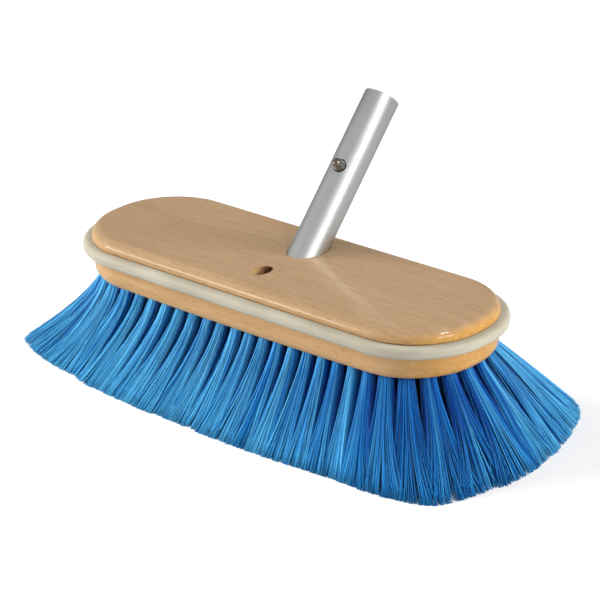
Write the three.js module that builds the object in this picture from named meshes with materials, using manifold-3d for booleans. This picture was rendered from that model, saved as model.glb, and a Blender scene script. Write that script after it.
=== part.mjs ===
// A pool wall brush: an oval wooden block with a soft bumper round its edge, flared bristles
// under it, and a slanted tube with a spring-loaded button that locks into a pole.
// Millimetres. X runs along the block, Y is the way the tube leans, Z points up.
// The origin lies on the plane of the bristle tips, under the middle of the block.
import * as THREE from "three";
import { mergeVertices } from "three/addons/utils/BufferGeometryUtils.js";
import Module from "manifold-3d";

// Block
const BLOCK_LENGTH = 250;
const BLOCK_WIDTH = 82.3;
const END_FLAT = 2.45; // half the straight stretch at each end of the block
const UNDER_Z = 44.3; // the underside at mid length, above the bristle tips
const CORE_HEIGHT = 20.2; // from the underside to the rounded slab, right above the bumper
const SLAB_HEIGHT = 6.4;
const SLAB_STRAIGHT = 0.7; // the slab's upright edge, below its rounding
const ROUND_STEPS = 7;
const CORE_INSET = 0.6; // the wood behind the bumper stands back by this much
const WAIST_INSET = 0.8;
const WAIST_UP = 8.7; // from the underside
const HEEL_INSET = 1.3;
const HEEL_UP = 3.2;
const FOOT_INSET = 2.3;
const ARCH_RISE = 2; // how much higher the underside is at the two ends
const ARCH_STEPS = 12;
const RIM_INSET = 3.3; // outline of the shallow recess that takes the bristle backing
const CORNER_STEPS = 14;
const CUT_MARGIN = 20; // how far a cutter runs past what it cuts

// Bumper
const BUMPER_OUT = 4.9;
const BUMPER_HEIGHT = 6.2;
const BUMPER_ROUND_R = 2.3;
const BUMPER_ROUND_STEPS = 4;
const TONGUE_DEPTH = 4;
const TONGUE_HEIGHT = 2.4;
const FIT_GAP = 0.3; // gap between parts that touch

// Handle tube
const TUBE_OD = 19.05;
const TUBE_WALL = 1.25;
const TUBE_OUT = 89.8; // from the block's top to the open end, along the tube
const TUBE_TILT = (42.2 * Math.PI) / 180; // from vertical, towards +Y
const TUBE_Y = 15.8; // where the tube's axis meets the block's top
const TUBE_EDGE = 0.35; // broken edge at the open end
const POCKET_PLAY = 0.275; // between the tube and its pocket
const POCKET_FLOOR = 2; // wood between the tube's pocket and the bristle backing
const ROUND_SIDES = 40;
const SMALL_SIDES = 24;

// Fixing screw, square to the tube, in a counterbored hole
const SCREW_WAY = 17; // from the block's top to the tube's wall, along the screw
const COUNTERBORE_DEPTH = 9.5;
const SCREW_HEAD_R = 3.9;
const SCREW_HEAD_H = 2.6;
const SCREW_HEAD_EDGE = 0.8;
const HEAD_PLAY = 0.5;
const SCREW_SHANK_R = 2;
const SHANK_PLAY = 0.4;
const SCREW_THROUGH = 6.7; // how far the screw runs into the tube
const SCREW_TIP = 3;
const SCREW_SLOT_W = 1;
const SCREW_SLOT_L = 4.4;
const SCREW_SLOT_DEPTH = 1.3;

// Spring clip and snap button, inside the tube
const BUTTON_UP = 45.1; // from the block's top, along the tube
const BUTTON_TURN = (10 * Math.PI) / 180; // round the tube, from -Y towards +X
const BUTTON_R = 3.2;
const BUTTON_OUT = 5.8; // how far the dome stands out of the tube
const BUTTON_FLANK = 0.7; // how much of the button's straight side shows
const DOME_R = 2.6;
const BUTTON_PLAY = 0.5;
const DOME_STEPS = 7;
const CLIP_MARGIN = 0.1; // how much wider the clip is than the button
const CLIP_T = 0.6;
const LEVER = 34; // from the fold to the button
const LEG_END = 5.1; // how far the legs run past the button
const LEG_BEND = 5.9; // where the legs turn parallel to the tube, before the button
const LEG_PLAY = 0.375; // between the edges of a leg's flat end and the tube's inner wall
const FOLD_INSET = 2.9; // how much nearer the tube's axis the fold lies than a leg's flat end
const FOLD_R = 1.5;
const FOLD_STEPS = 8;
const HINGE_GAP = 0.35;

// Bristles: rows of tufts round the block, two strands to a tuft, and a row down the middle
const BACKING_UP = 0.1; // how much higher the backing's lower face lies than the raised ends
const BACKING_T = 2.5;
const ROW_INSET = 8.15; // from the block's outline to the middle of the outer row
const ROW_NAMES = ["bristles_outer", "bristles_second", "bristles_inner"];
const ROW_SHARES = [1, 0.6727, 0.3455]; // half widths of the rows, of the outer row's
const TUFT_PITCH = 10;
const MIDDLE_INSET = 15.25; // from the end of the inner row to the last tuft in the middle
const MIDDLE_HALF = 2.3;
const STRAND_DEEP = 2.4; // half the size of a tuft, across its row
const STRAND_ALONG = 3; // half the size of a tuft, along its row
const STRAND_SPLIT = 0.3; // half the gap between a tuft's two strands
const STRAND_BULGE = 0.3; // how much thinner a tuft is at its sides than in its middle
const TURN_ANGLE = 0.05; // the tufts stand turned by up to this much, in radians
const TURN_PHASE_ANGLE = 2.4; // from one tuft to the next
const TIP_DEEP = 1.2; // the same sizes at the tips, before the rows spread
const TIP_ALONG = 3.9;
const TIP_SPLIT = 1;
const TURN_ROOM = 0.4; // how far a turned tuft's corner reaches past its row
const TIP_SPREAD_Y = 38; // how far the outermost strands lean out, across the block
const TIP_SPREAD_POWER = 1.5;
const TIP_SCALE = 1.2; // how much the rows grow along the block
const TIP_SCALE_END = 0.135;
const MIDDLE_TIP_SHARE = 1.5; // how much the middle tufts spread across the block
const FLARE_POWER = 1.4;
const STRAND_LEVEL_SHARES = [0, 0.5, 1];

const WOOD = 0xc8a070;
const SOFT_GREY = 0xcfcdc2;
const ALUMINIUM = 0xa9acae;
const STEEL = 0xb9bcc0;
const BLUE = 0x2b7fd0;

const wasm = await Module();
wasm.setup();

const HALF_LENGTH = BLOCK_LENGTH / 2;
const HALF_WIDTH = BLOCK_WIDTH / 2;
const slabEdgeZ = UNDER_Z + CORE_HEIGHT;
const topZ = slabEdgeZ + SLAB_HEIGHT;
const backingZ = UNDER_Z + ARCH_RISE + BACKING_UP;
const backingTop = backingZ + BACKING_T;
const tubeR = TUBE_OD / 2;
const sin = Math.sin(TUBE_TILT);
const cos = Math.cos(TUBE_TILT);

// Closed solid from a geometry, for joining and cutting.
function solid(geometry) {
  const bare = new THREE.BufferGeometry();
  const flat = geometry.index ? geometry.toNonIndexed() : geometry;
  bare.setAttribute("position", flat.getAttribute("position").clone());
  const merged = mergeVertices(bare, 1e-4);
  const old = merged.index.array;
  const kept = [];
  for (let i = 0; i < old.length; i += 3) {
    const [a, b, c] = [old[i], old[i + 1], old[i + 2]];
    if (a !== b && b !== c && c !== a) kept.push(a, b, c);
  }
  const mesh = new wasm.Mesh({
    numProp: 3,
    vertProperties: merged.attributes.position.array,
    triVerts: new Uint32Array(kept),
  });
  return new wasm.Manifold(mesh);
}

function geometryOf(manifold) {
  const m = manifold.getMesh();
  const positions = [];
  for (const v of m.triVerts) {
    const at = v * m.numProp;
    positions.push(...m.vertProperties.subarray(at, at + 3));
  }
  const g = new THREE.BufferGeometry();
  g.setAttribute("position", new THREE.Float32BufferAttribute(positions, 3));
  g.computeVertexNormals();
  return g;
}

// A point on a rounded rectangle of half sizes a and b, whose corners are quarter ellipses
// of half sizes rx and ry. It has eight stretches: even ones straight, odd ones corners.
function outlinePoint([a, b, rx, ry], stretch, f) {
  const signs = [
    [1, 1],
    [-1, 1],
    [-1, -1],
    [1, -1],
  ];
  const quarter = Math.PI / 2;
  const corner = (i, angle) => {
    const [sx, sy] = signs[i % 4];
    return [sx * (a - rx) + rx * Math.cos(angle), sy * (b - ry) + ry * Math.sin(angle)];
  };
  const i = (stretch - 1) >> 1;
  if (stretch % 2) return corner(i, (i + f) * quarter);
  const k = stretch / 2;
  const [x0, y0] = corner((k + 3) % 4, k * quarter);
  const [x1, y1] = corner(k, k * quarter);
  return [x0 + (x1 - x0) * f, y0 + (y1 - y0) * f];
}

// The block's outline, moved inwards by inset.
function ring(inset) {
  const r = HALF_WIDTH - END_FLAT - inset;
  const outline = [HALF_LENGTH - inset, HALF_WIDTH - inset, r, r];
  const points = [];
  for (let stretch = 1; stretch < 8; stretch += 2) {
    for (let j = 0; j <= CORNER_STEPS; j++) {
      points.push(outlinePoint(outline, stretch, j / CORNER_STEPS));
    }
  }
  return points;
}

// Solid through rings of equal count, from the lowest to the highest, with flat ends.
function loft(levels) {
  const rings = levels.map(([inset, z]) => ring(inset).map(([x, y]) => [x, y, z]));
  const n = rings[0].length;
  const out = [];
  for (let k = 0; k + 1 < rings.length; k++) {
    for (let i = 0; i < n; i++) {
      const j = (i + 1) % n;
      const [a, b] = [rings[k][i], rings[k][j]];
      const [c, d] = [rings[k + 1][j], rings[k + 1][i]];
      out.push(...a, ...b, ...c, ...a, ...c, ...d);
    }
  }
  const low = [0, 0, levels[0][1]];
  const high = [0, 0, levels[levels.length - 1][1]];
  for (let i = 0; i < n; i++) {
    const j = (i + 1) % n;
    out.push(...low, ...rings[0][j], ...rings[0][i]);
    out.push(...high, ...rings[rings.length - 1][i], ...rings[rings.length - 1][j]);
  }
  return fromTriangles(out);
}

function fromTriangles(numbers) {
  const g = new THREE.BufferGeometry();
  g.setAttribute("position", new THREE.Float32BufferAttribute(numbers, 3));
  return solid(g);
}

// Prism of a closed outline in the XY plane.
function prism(points, low, high) {
  const shape = new THREE.Shape(points.map(([x, y]) => new THREE.Vector2(x, y)));
  const g = new THREE.ExtrudeGeometry(shape, { depth: high - low, bevelEnabled: false });
  return solid(g.translate(0, 0, low));
}

function underside(x) {
  return UNDER_Z + ARCH_RISE * (x / HALF_LENGTH) ** 2;
}

// Everything under the arched underside.
function belowArch() {
  const reach = HALF_LENGTH + CUT_MARGIN;
  const points = [
    [-reach, 0],
    [reach, 0],
  ];
  for (let i = ARCH_STEPS; i >= 0; i--) {
    const x = -reach + (2 * reach * i) / ARCH_STEPS;
    points.push([x, underside(x)]);
  }
  const shape = new THREE.Shape(points.map(([x, z]) => new THREE.Vector2(x, z)));
  const deep = BLOCK_WIDTH + CUT_MARGIN;
  const g = new THREE.ExtrudeGeometry(shape, { depth: deep, bevelEnabled: false });
  g.rotateX(Math.PI / 2);
  return solid(g.translate(0, deep / 2, 0));
}

// Turned solid about the local Z axis, from a closed profile of radius and height.
function turned(profile, sides) {
  const points = profile.map(([r, z]) => new THREE.Vector2(r, z));
  const g = new THREE.LatheGeometry(points, sides);
  g.rotateX(Math.PI / 2);
  return solid(g);
}

// The tube's own frame: X as the block's, local Y towards the button, local Z up the tube,
// and the origin where the tube's axis meets the block's top.
const tubeFrame = new THREE.Matrix4().makeBasis(
  new THREE.Vector3(-1, 0, 0),
  new THREE.Vector3(0, -cos, sin),
  new THREE.Vector3(0, sin, cos),
);
tubeFrame.setPosition(0, TUBE_Y, topZ);

// The same frame, turned round the tube: the clip and the button lie in it.
const clipFrame = tubeFrame.clone().multiply(new THREE.Matrix4().makeRotationZ(BUTTON_TURN));

// The screw's own frame: local Z runs down the hole, square to the tube.
const screwFrame = new THREE.Matrix4().makeBasis(
  new THREE.Vector3(-1, 0, 0),
  new THREE.Vector3(0, sin, cos),
  new THREE.Vector3(0, cos, -sin),
);
screwFrame.setPosition(0, TUBE_Y - (SCREW_WAY + tubeR) / cos, topZ);

function placed(manifold, frame) {
  return manifold.transform(frame.elements);
}

// Solid of a flat strip: a path of points in the local Y and Z, with a thickness and a width.
function strip(path, width, thickness) {
  const left = [];
  const right = [];
  path.forEach(([y, z], i) => {
    const [py, pz] = path[Math.max(i - 1, 0)];
    const [ny, nz] = path[Math.min(i + 1, path.length - 1)];
    const length = Math.hypot(ny - py, nz - pz);
    const [ty, tz] = [(ny - py) / length, (nz - pz) / length];
    left.push([y - (tz * thickness) / 2, z + (ty * thickness) / 2]);
    right.push([y + (tz * thickness) / 2, z - (ty * thickness) / 2]);
  });
  const shape = new THREE.Shape(
    [...right, ...left.reverse()].map(([y, z]) => new THREE.Vector2(y, z)),
  );
  const g = new THREE.ExtrudeGeometry(shape, { depth: width, bevelEnabled: false });
  g.applyMatrix4(
    new THREE.Matrix4().makeBasis(
      new THREE.Vector3(0, 1, 0),
      new THREE.Vector3(0, 0, 1),
      new THREE.Vector3(1, 0, 0),
    ),
  );
  return solid(g.translate(-width / 2, 0, 0));
}

function bar(length, width, height) {
  return solid(new THREE.BoxGeometry(length, width, height));
}

const group = new THREE.Group();
function add(name, manifold, color, metalness, roughness) {
  const material = new THREE.MeshStandardMaterial({ color, metalness, roughness });
  const mesh = new THREE.Mesh(geometryOf(manifold), material);
  mesh.name = name;
  group.add(mesh);
}

// Block: one piece of wood with a rounded upper edge, a groove for the bumper's tongue,
// a slanted pocket for the tube and a counterbored screw hole.
const bumperTop = slabEdgeZ - FIT_GAP;
const bumperLow = bumperTop - BUMPER_HEIGHT;
const tongueMid = (bumperTop + bumperLow) / 2;
const grooveLow = tongueMid - TONGUE_HEIGHT / 2 - FIT_GAP;
const grooveHigh = tongueMid + TONGUE_HEIGHT / 2 + FIT_GAP;
const grooveInset = CORE_INSET + TONGUE_DEPTH;
const blockLevels = [
  [FOOT_INSET, UNDER_Z],
  [HEEL_INSET, UNDER_Z + HEEL_UP],
  [WAIST_INSET, UNDER_Z + WAIST_UP],
  [CORE_INSET, bumperLow],
  [CORE_INSET, grooveLow],
  [grooveInset, grooveLow],
  [grooveInset, grooveHigh],
  [CORE_INSET, grooveHigh],
  [CORE_INSET, slabEdgeZ],
  [0, slabEdgeZ],
];
const roundR = SLAB_HEIGHT - SLAB_STRAIGHT;
for (let i = 0; i <= ROUND_STEPS; i++) {
  const t = (i / ROUND_STEPS) * (Math.PI / 2);
  blockLevels.push([roundR * (1 - Math.cos(t)), topZ - roundR * (1 - Math.sin(t))]);
}
const pocketR = tubeR + POCKET_PLAY;
const counterboreR = SCREW_HEAD_R + HEAD_PLAY;
const pilotR = SCREW_SHANK_R + SHANK_PLAY;
const screwReach = SCREW_WAY + tubeR;
const recessTop = backingTop + FIT_GAP;
const pocketZ = recessTop + POCKET_FLOOR;
const bore = placed(
  turned(
    [
      [0, -CUT_MARGIN * 2],
      [pocketR, -CUT_MARGIN * 2],
      [pocketR, CUT_MARGIN],
      [0, CUT_MARGIN],
    ],
    ROUND_SIDES,
  ),
  tubeFrame,
);
const aboveFloor = (z) =>
  bar(BLOCK_LENGTH * 2, BLOCK_LENGTH * 2, BLOCK_LENGTH).translate(
    0,
    0,
    z + BLOCK_LENGTH / 2,
  );
const screwHole = placed(
  turned(
    [
      [0, -CUT_MARGIN],
      [counterboreR, -CUT_MARGIN],
      [counterboreR, COUNTERBORE_DEPTH],
      [pilotR, COUNTERBORE_DEPTH],
      [pilotR, screwReach],
      [0, screwReach],
    ],
    SMALL_SIDES,
  ),
  screwFrame,
);
const recess = prism(ring(RIM_INSET), 0, recessTop);
const block = loft(blockLevels)
  .subtract(belowArch())
  .subtract(recess)
  .subtract(bore.intersect(aboveFloor(pocketZ)))
  .subtract(screwHole);
add("block", block, WOOD, 0, 0.6);

// Bumper: a soft ring with a rounded outer face and a tongue in the block's groove.
const section = [
  [-CORE_INSET + FIT_GAP, bumperLow],
  [BUMPER_OUT - BUMPER_ROUND_R, bumperLow],
];
for (const [from, z] of [
  [-1, bumperLow + BUMPER_ROUND_R],
  [0, bumperTop - BUMPER_ROUND_R],
]) {
  for (let i = 0; i <= BUMPER_ROUND_STEPS; i++) {
    const t = (from + i / BUMPER_ROUND_STEPS) * (Math.PI / 2);
    section.push([
      BUMPER_OUT - BUMPER_ROUND_R * (1 - Math.cos(t)),
      z + BUMPER_ROUND_R * Math.sin(t),
    ]);
  }
}
section.splice(2, 1);
section.push(
  [-CORE_INSET + FIT_GAP, bumperTop],
  [-CORE_INSET + FIT_GAP, tongueMid + TONGUE_HEIGHT / 2],
  [-CORE_INSET - TONGUE_DEPTH + FIT_GAP, tongueMid + TONGUE_HEIGHT / 2],
  [-CORE_INSET - TONGUE_DEPTH + FIT_GAP, tongueMid - TONGUE_HEIGHT / 2],
  [-CORE_INSET + FIT_GAP, tongueMid - TONGUE_HEIGHT / 2],
);
const bumperRings = section.map(([out, z]) => ring(-out).map(([x, y]) => [x, y, z]));
const bumperTriangles = [];
bumperRings.forEach((low, k) => {
  const high = bumperRings[(k + 1) % bumperRings.length];
  low.forEach((a, i) => {
    const j = (i + 1) % low.length;
    bumperTriangles.push(...a, ...low[j], ...high[j], ...a, ...high[j], ...high[i]);
  });
});
add("bumper", fromTriangles(bumperTriangles), SOFT_GREY, 0, 0.45);

// Handle tube: its lower end is cut level, inside the pocket, and its upper end is open.
const boreR = tubeR - TUBE_WALL;
const buttonHoleR = BUTTON_R + BUTTON_PLAY;
const buttonHole = placed(
  turned(
    [
      [0, 0],
      [buttonHoleR, 0],
      [buttonHoleR, TUBE_OD],
      [0, TUBE_OD],
    ],
    SMALL_SIDES,
  )
    .rotate([-90, 0, 0])
    .translate(0, 0, BUTTON_UP),
  clipFrame,
);
const tubeLow = -CUT_MARGIN * 2;
const tubeScrewHole = placed(
  turned(
    [
      [0, 0],
      [pilotR, 0],
      [pilotR, screwReach],
      [0, screwReach],
    ],
    SMALL_SIDES,
  ),
  screwFrame,
);
const handleTube = placed(
  turned(
    [
      [boreR, tubeLow],
      [tubeR, tubeLow],
      [tubeR, TUBE_OUT - TUBE_EDGE],
      [tubeR - TUBE_EDGE, TUBE_OUT],
      [boreR, TUBE_OUT],
      [boreR, tubeLow],
    ],
    ROUND_SIDES,
  ),
  tubeFrame,
)
  .subtract(buttonHole)
  .intersect(aboveFloor(pocketZ + FIT_GAP))
  .subtract(tubeScrewHole);
add("handle_tube", handleTube, ALUMINIUM, 0.85, 0.4);

// Fixing screw: its head sits at the bottom of the counterbore.
const seat = COUNTERBORE_DEPTH - FIT_GAP;
const headTop = seat - SCREW_HEAD_H;
const screwEnd = SCREW_WAY + SCREW_THROUGH;
const screwBody = turned(
  [
    [0, headTop],
    [SCREW_HEAD_R - SCREW_HEAD_EDGE, headTop],
    [SCREW_HEAD_R, headTop + SCREW_HEAD_EDGE],
    [SCREW_HEAD_R, seat],
    [SCREW_SHANK_R, seat],
    [SCREW_SHANK_R, screwEnd - SCREW_TIP],
    [0, screwEnd],
  ],
  SMALL_SIDES,
);
const slot = bar(SCREW_SLOT_L, SCREW_SLOT_W, SCREW_SLOT_DEPTH * 2).translate(0, 0, headTop);
const crossSlot = slot.add(slot.rotate([0, 0, 90]));
add("fixing_screw", placed(screwBody.subtract(crossSlot), screwFrame), STEEL, 0.9, 0.35);

// Snap button: a plug on the clip's leg, which tapers to a dome outside the tube. The leg's
// flat end lies as far out as its two edges may go.
const clipWidth = 2 * BUTTON_R + CLIP_MARGIN;
const legFace = Math.sqrt((boreR - LEG_PLAY) ** 2 - (clipWidth / 2) ** 2);
const legOffset = legFace - CLIP_T / 2;
const buttonBase = legFace + FIT_GAP;
const domeMid = tubeR + BUTTON_OUT - DOME_R;
const flankTop = tubeR + BUTTON_FLANK;
const taperReach = Math.hypot(BUTTON_R, flankTop - domeMid);
const taper = Math.atan2(flankTop - domeMid, BUTTON_R) + Math.acos(DOME_R / taperReach);
const buttonProfile = [
  [0, buttonBase],
  [BUTTON_R, buttonBase],
  [BUTTON_R, flankTop],
];
for (let i = 0; i <= DOME_STEPS; i++) {
  const t = taper + (i / DOME_STEPS) * (Math.PI / 2 - taper);
  const r = i === DOME_STEPS ? 0 : DOME_R * Math.cos(t);
  buttonProfile.push([r, domeMid + DOME_R * Math.sin(t)]);
}
const button = turned(buttonProfile, SMALL_SIDES)
  .rotate([-90, 0, 0])
  .translate(0, 0, BUTTON_UP);
add("snap_button", placed(button, clipFrame), STEEL, 0.9, 0.25);

// Spring clip: two legs and a fold. The leg under the button bends at the fold.
const foldUp = BUTTON_UP - LEVER;
const legTop = BUTTON_UP + LEG_END;
const legTurn = BUTTON_UP - LEG_BEND;
const foldOffset = legOffset - FOLD_INSET - FOLD_R;
const fixedPath = [];
for (let i = 0; i <= FOLD_STEPS; i++) {
  const t = (Math.PI * i) / FOLD_STEPS;
  fixedPath.push([foldOffset + FOLD_R * Math.cos(t), foldUp - FOLD_R * Math.sin(t)]);
}
fixedPath.push([-legOffset, legTurn], [-legOffset, legTop]);
const movingPath = [
  [foldOffset + FOLD_R, foldUp + HINGE_GAP],
  [legOffset, legTurn],
  [legOffset, legTop],
];
add("clip_fixed_leg", placed(strip(fixedPath, clipWidth, CLIP_T), clipFrame), STEEL, 0.9, 0.3);
add("clip_moving_leg", placed(strip(movingPath, clipWidth, CLIP_T), clipFrame), STEEL, 0.9, 0.3);

// Bristles
const edgeLoss = HALF_LENGTH - HALF_WIDTH;
const outerRow = HALF_WIDTH - ROW_INSET;
const outermost = outerRow + STRAND_DEEP + TURN_ROOM; // the outer strands' edges at the roots

// Root outline of half width h: half length, half width and the corners' half sizes.
function rootOutline(h) {
  return [edgeLoss + h, h, h - END_FLAT, h - END_FLAT];
}

// The same outline at the tips, where the rows have spread.
function tipOutline(h) {
  const share = h / outermost;
  const a = (edgeLoss + h) * (TIP_SCALE + TIP_SCALE_END * share * share);
  const b = h + TIP_SPREAD_Y * share ** TIP_SPREAD_POWER;
  return [a, b, a - TIP_SCALE * (edgeLoss + END_FLAT), b - TIP_SCALE * END_FLAT];
}

// Stretch and share of the root outline for a distance along it.
function locate([a, b, r], distance) {
  const lengths = [];
  for (let i = 0; i < 8; i++) {
    if (i % 2) lengths.push((r * Math.PI) / 2);
    else lengths.push(i % 4 === 0 ? 2 * (b - r) : 2 * (a - r));
  }
  const total = lengths.reduce((sum, l) => sum + l, 0);
  let left = ((distance % total) + total) % total;
  let stretch = 0;
  while (left > lengths[stretch]) {
    left -= lengths[stretch];
    stretch = (stretch + 1) % 8;
  }
  return { stretch, f: left / lengths[stretch], total };
}

// One strand through four-sided sections, from its root on the backing down to the floor.
// It has no end face at the root, where it grows out of the backing.
function strand(cornersAt) {
  const rings = STRAND_LEVEL_SHARES.map((t) =>
    cornersAt(t).map(([x, y]) => [x, y, backingZ * (1 - t)]),
  );
  const out = [];
  for (let k = 0; k + 1 < rings.length; k++) {
    for (let i = 0; i < 4; i++) {
      const j = (i + 1) % 4;
      const [a, b] = [rings[k][i], rings[k][j]];
      const [c, d] = [rings[k + 1][j], rings[k + 1][i]];
      out.push(...a, ...c, ...b, ...a, ...d, ...c);
    }
  }
  const tip = rings[rings.length - 1];
  out.push(...tip[0], ...tip[2], ...tip[1], ...tip[0], ...tip[3], ...tip[2]);
  return { root: cornersAt(0), triangles: out };
}

// Position, at height share t, of a point that sits at half width h in a row of its own half
// width, and at distance s along that row.
function bristlePoint(half, h, s, t) {
  const { stretch, f } = locate(rootOutline(half), s);
  const [x0, y0] = outlinePoint(rootOutline(h), stretch, f);
  const [x1, y1] = outlinePoint(tipOutline(h), stretch, f);
  const g = t ** FLARE_POWER;
  return [x0 + (x1 - x0) * g, y0 + (y1 - y0) * g];
}

// The strands of one row, whose tufts stand alike in the four quarters of the block.
function rowStrands(half) {
  const strands = [];
  const { total } = locate(rootOutline(half), 0);
  const tufts = 4 * Math.round(total / (4 * TUFT_PITCH));
  const pitch = total / tufts;
  const start = END_FLAT + pitch / 2;
  for (let k = 0; k < tufts; k++) {
    const centre = start + k * pitch;
    const turn = TURN_ANGLE * Math.sin(TURN_PHASE_ANGLE * k);
    for (const side of [-1, 1]) {
      strands.push(
        strand((t) => {
          const near = STRAND_SPLIT + (TIP_SPLIT - STRAND_SPLIT) * t;
          const far = STRAND_ALONG + (TIP_ALONG - STRAND_ALONG) * t;
          const deep = STRAND_DEEP + (TIP_DEEP - STRAND_DEEP) * t;
          const [s0, s1] = side > 0 ? [near, far] : [-far, -near];
          const corners = [
            [s0, -1],
            [s0, 1],
            [s1, 1],
            [s1, -1],
          ];
          return corners.map(([s, way]) => {
            const h = way * (deep - STRAND_BULGE * (s / far) ** 2);
            return bristlePoint(half, half + h - turn * s, centre + s + turn * h, t);
          });
        }),
      );
    }
  }
  return strands;
}

// The row down the middle, which ends short of the inner row's ends.
function middleStrands(half) {
  const strands = [];
  const reach = edgeLoss + half - MIDDLE_INSET;
  const pairs = Math.round(reach / TUFT_PITCH);
  for (let k = 0; k <= 2 * pairs; k++) {
    const x = (reach * (k - pairs)) / pairs;
    const turn = TURN_ANGLE * Math.cos(TURN_PHASE_ANGLE * k);
    strands.push(
      strand((t) => {
        const g = t ** FLARE_POWER;
        const sx = 1 + (TIP_SCALE - 1) * g;
        const sy = 1 + (MIDDLE_TIP_SHARE - 1) * g;
        const corners = [
          [-1, -1],
          [1, -1],
          [1, 1],
          [-1, 1],
        ];
        return corners.map(([u, v]) => [
          (x + MIDDLE_HALF * (u - turn * v)) * sx,
          MIDDLE_HALF * (v + turn * u) * sy,
        ]);
      }),
    );
  }
  return strands;
}

// Flat face inside an outline, round its holes, that looks up or down.
function face(outline, holes, z, up) {
  const flat = (points) => points.map(([x, y]) => new THREE.Vector2(x, y));
  const contour = flat(outline);
  const inner = holes.map((hole) => flat(hole).reverse());
  const all = [contour, ...inner].flat();
  const out = [];
  for (const [a, b, c] of THREE.ShapeUtils.triangulateShape(contour, inner)) {
    for (const i of up ? [a, b, c] : [a, c, b]) out.push(all[i].x, all[i].y, z);
  }
  return out;
}

// Wall over an outline, facing away from its inside.
function wall(outline, low, high) {
  return outline.flatMap(([x, y], i) => {
    const [u, v] = outline[(i + 1) % outline.length];
    return [x, y, low, u, v, low, u, v, high, x, y, low, u, v, high, x, y, high];
  });
}

// A slice of backing, in one piece with its strands.
function bristleNode(outer, inner, strands) {
  const edge = ring(HALF_WIDTH - outer);
  const gaps = inner ? [ring(HALF_WIDTH - inner)] : [];
  const roots = strands.map((s) => s.root);
  return fromTriangles([
    ...face(edge, [...gaps, ...roots], backingZ, false),
    ...face(edge, gaps, backingTop, true),
    ...wall(edge, backingZ, backingTop),
    ...gaps.flatMap((gap) => wall([...gap].reverse(), backingZ, backingTop)),
    ...strands.flatMap((s) => s.triangles),
  ]);
}

const rowHalves = ROW_SHARES.map((share) => share * outerRow);
rowHalves.forEach((half, i) => {
  const last = i === rowHalves.length - 1;
  const midway = (j) => (rowHalves[j] + rowHalves[j + 1]) / 2;
  const outer = i ? midway(i - 1) - FIT_GAP / 2 : HALF_WIDTH - RIM_INSET - FIT_GAP;
  const inner = last ? 0 : midway(i) + FIT_GAP / 2;
  const strands = rowStrands(half);
  if (last) strands.push(...middleStrands(half));
  add(ROW_NAMES[i], bristleNode(outer, inner, strands), BLUE, 0, 0.5);
});

export default group;
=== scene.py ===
# %% [markdown]
# # A wall brush with a snap-button handle socket, piece by piece
#
# This lesson dresses a finished solid model. The solids are the frame: they say how long, how
# wide and how high each piece is. Here every piece that can be seen gets the surface of the
# real one: lacquered beech, a soft milky bumper, drawn aluminium, a steel button, and
# thousands of blue filaments instead of a few hundred plain strands.
#
# Everything below is in the frame of the solids: X runs along the block, Y is the way the
# handle tube leans, Z points up, and the tips of the bristles stand on z = 0. Shapes are
# worked out in millimetres and become metres when their mesh is made.

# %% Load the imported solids
import math

import bpy
import numpy as np
from mathutils import Matrix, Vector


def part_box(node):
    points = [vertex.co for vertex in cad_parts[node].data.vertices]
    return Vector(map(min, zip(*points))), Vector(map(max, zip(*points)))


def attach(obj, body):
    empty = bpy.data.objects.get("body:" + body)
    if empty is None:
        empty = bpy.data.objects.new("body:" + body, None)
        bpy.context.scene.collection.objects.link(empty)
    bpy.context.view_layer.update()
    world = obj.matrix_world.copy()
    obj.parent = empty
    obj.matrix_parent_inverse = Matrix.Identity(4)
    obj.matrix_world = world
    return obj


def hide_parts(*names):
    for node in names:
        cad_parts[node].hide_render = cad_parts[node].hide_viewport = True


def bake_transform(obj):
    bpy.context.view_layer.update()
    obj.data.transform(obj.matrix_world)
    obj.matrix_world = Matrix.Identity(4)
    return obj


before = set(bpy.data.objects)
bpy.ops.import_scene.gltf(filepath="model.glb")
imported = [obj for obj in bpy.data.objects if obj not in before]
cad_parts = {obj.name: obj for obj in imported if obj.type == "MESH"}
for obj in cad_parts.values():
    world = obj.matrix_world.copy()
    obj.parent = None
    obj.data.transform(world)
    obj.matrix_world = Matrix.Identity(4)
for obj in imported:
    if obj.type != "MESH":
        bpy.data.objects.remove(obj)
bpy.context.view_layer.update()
print("nodes:", sorted(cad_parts))

# %% [markdown]
# ## The camera
#
# The photograph was taken from the front right, a little above the block, through a long lens.
# The camera could be placed by eye, but its place was solved from edges of the block and the
# tube, so the turn, the height and the distance are known numbers. The aim is a touch off the
# block's middle, as in the photograph, so the lens needs no shift.

# %% Camera
CAMERA_TURN = 0.740       # radians round Z, from -Y towards +X
CAMERA_RISE = 0.394       # radians above the floor
CAMERA_ROLL = -0.030
CAMERA_DISTANCE = 1.4088  # metres from the point it looks past
CAMERA_PAST = np.array([0.0, 0.0, 0.0645])
FOCAL_PIXELS, PICTURE_PIXELS = 2747.7, 600.0
SENSOR_WIDTH = 36.0       # millimetres
AIM_RIGHT, AIM_DOWN = 0.004069, 0.01083  # per metre of way forward


def unit(v):
    """A vector of length one along v."""
    v = np.asarray(v, float)
    return v / np.linalg.norm(v)


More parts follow.
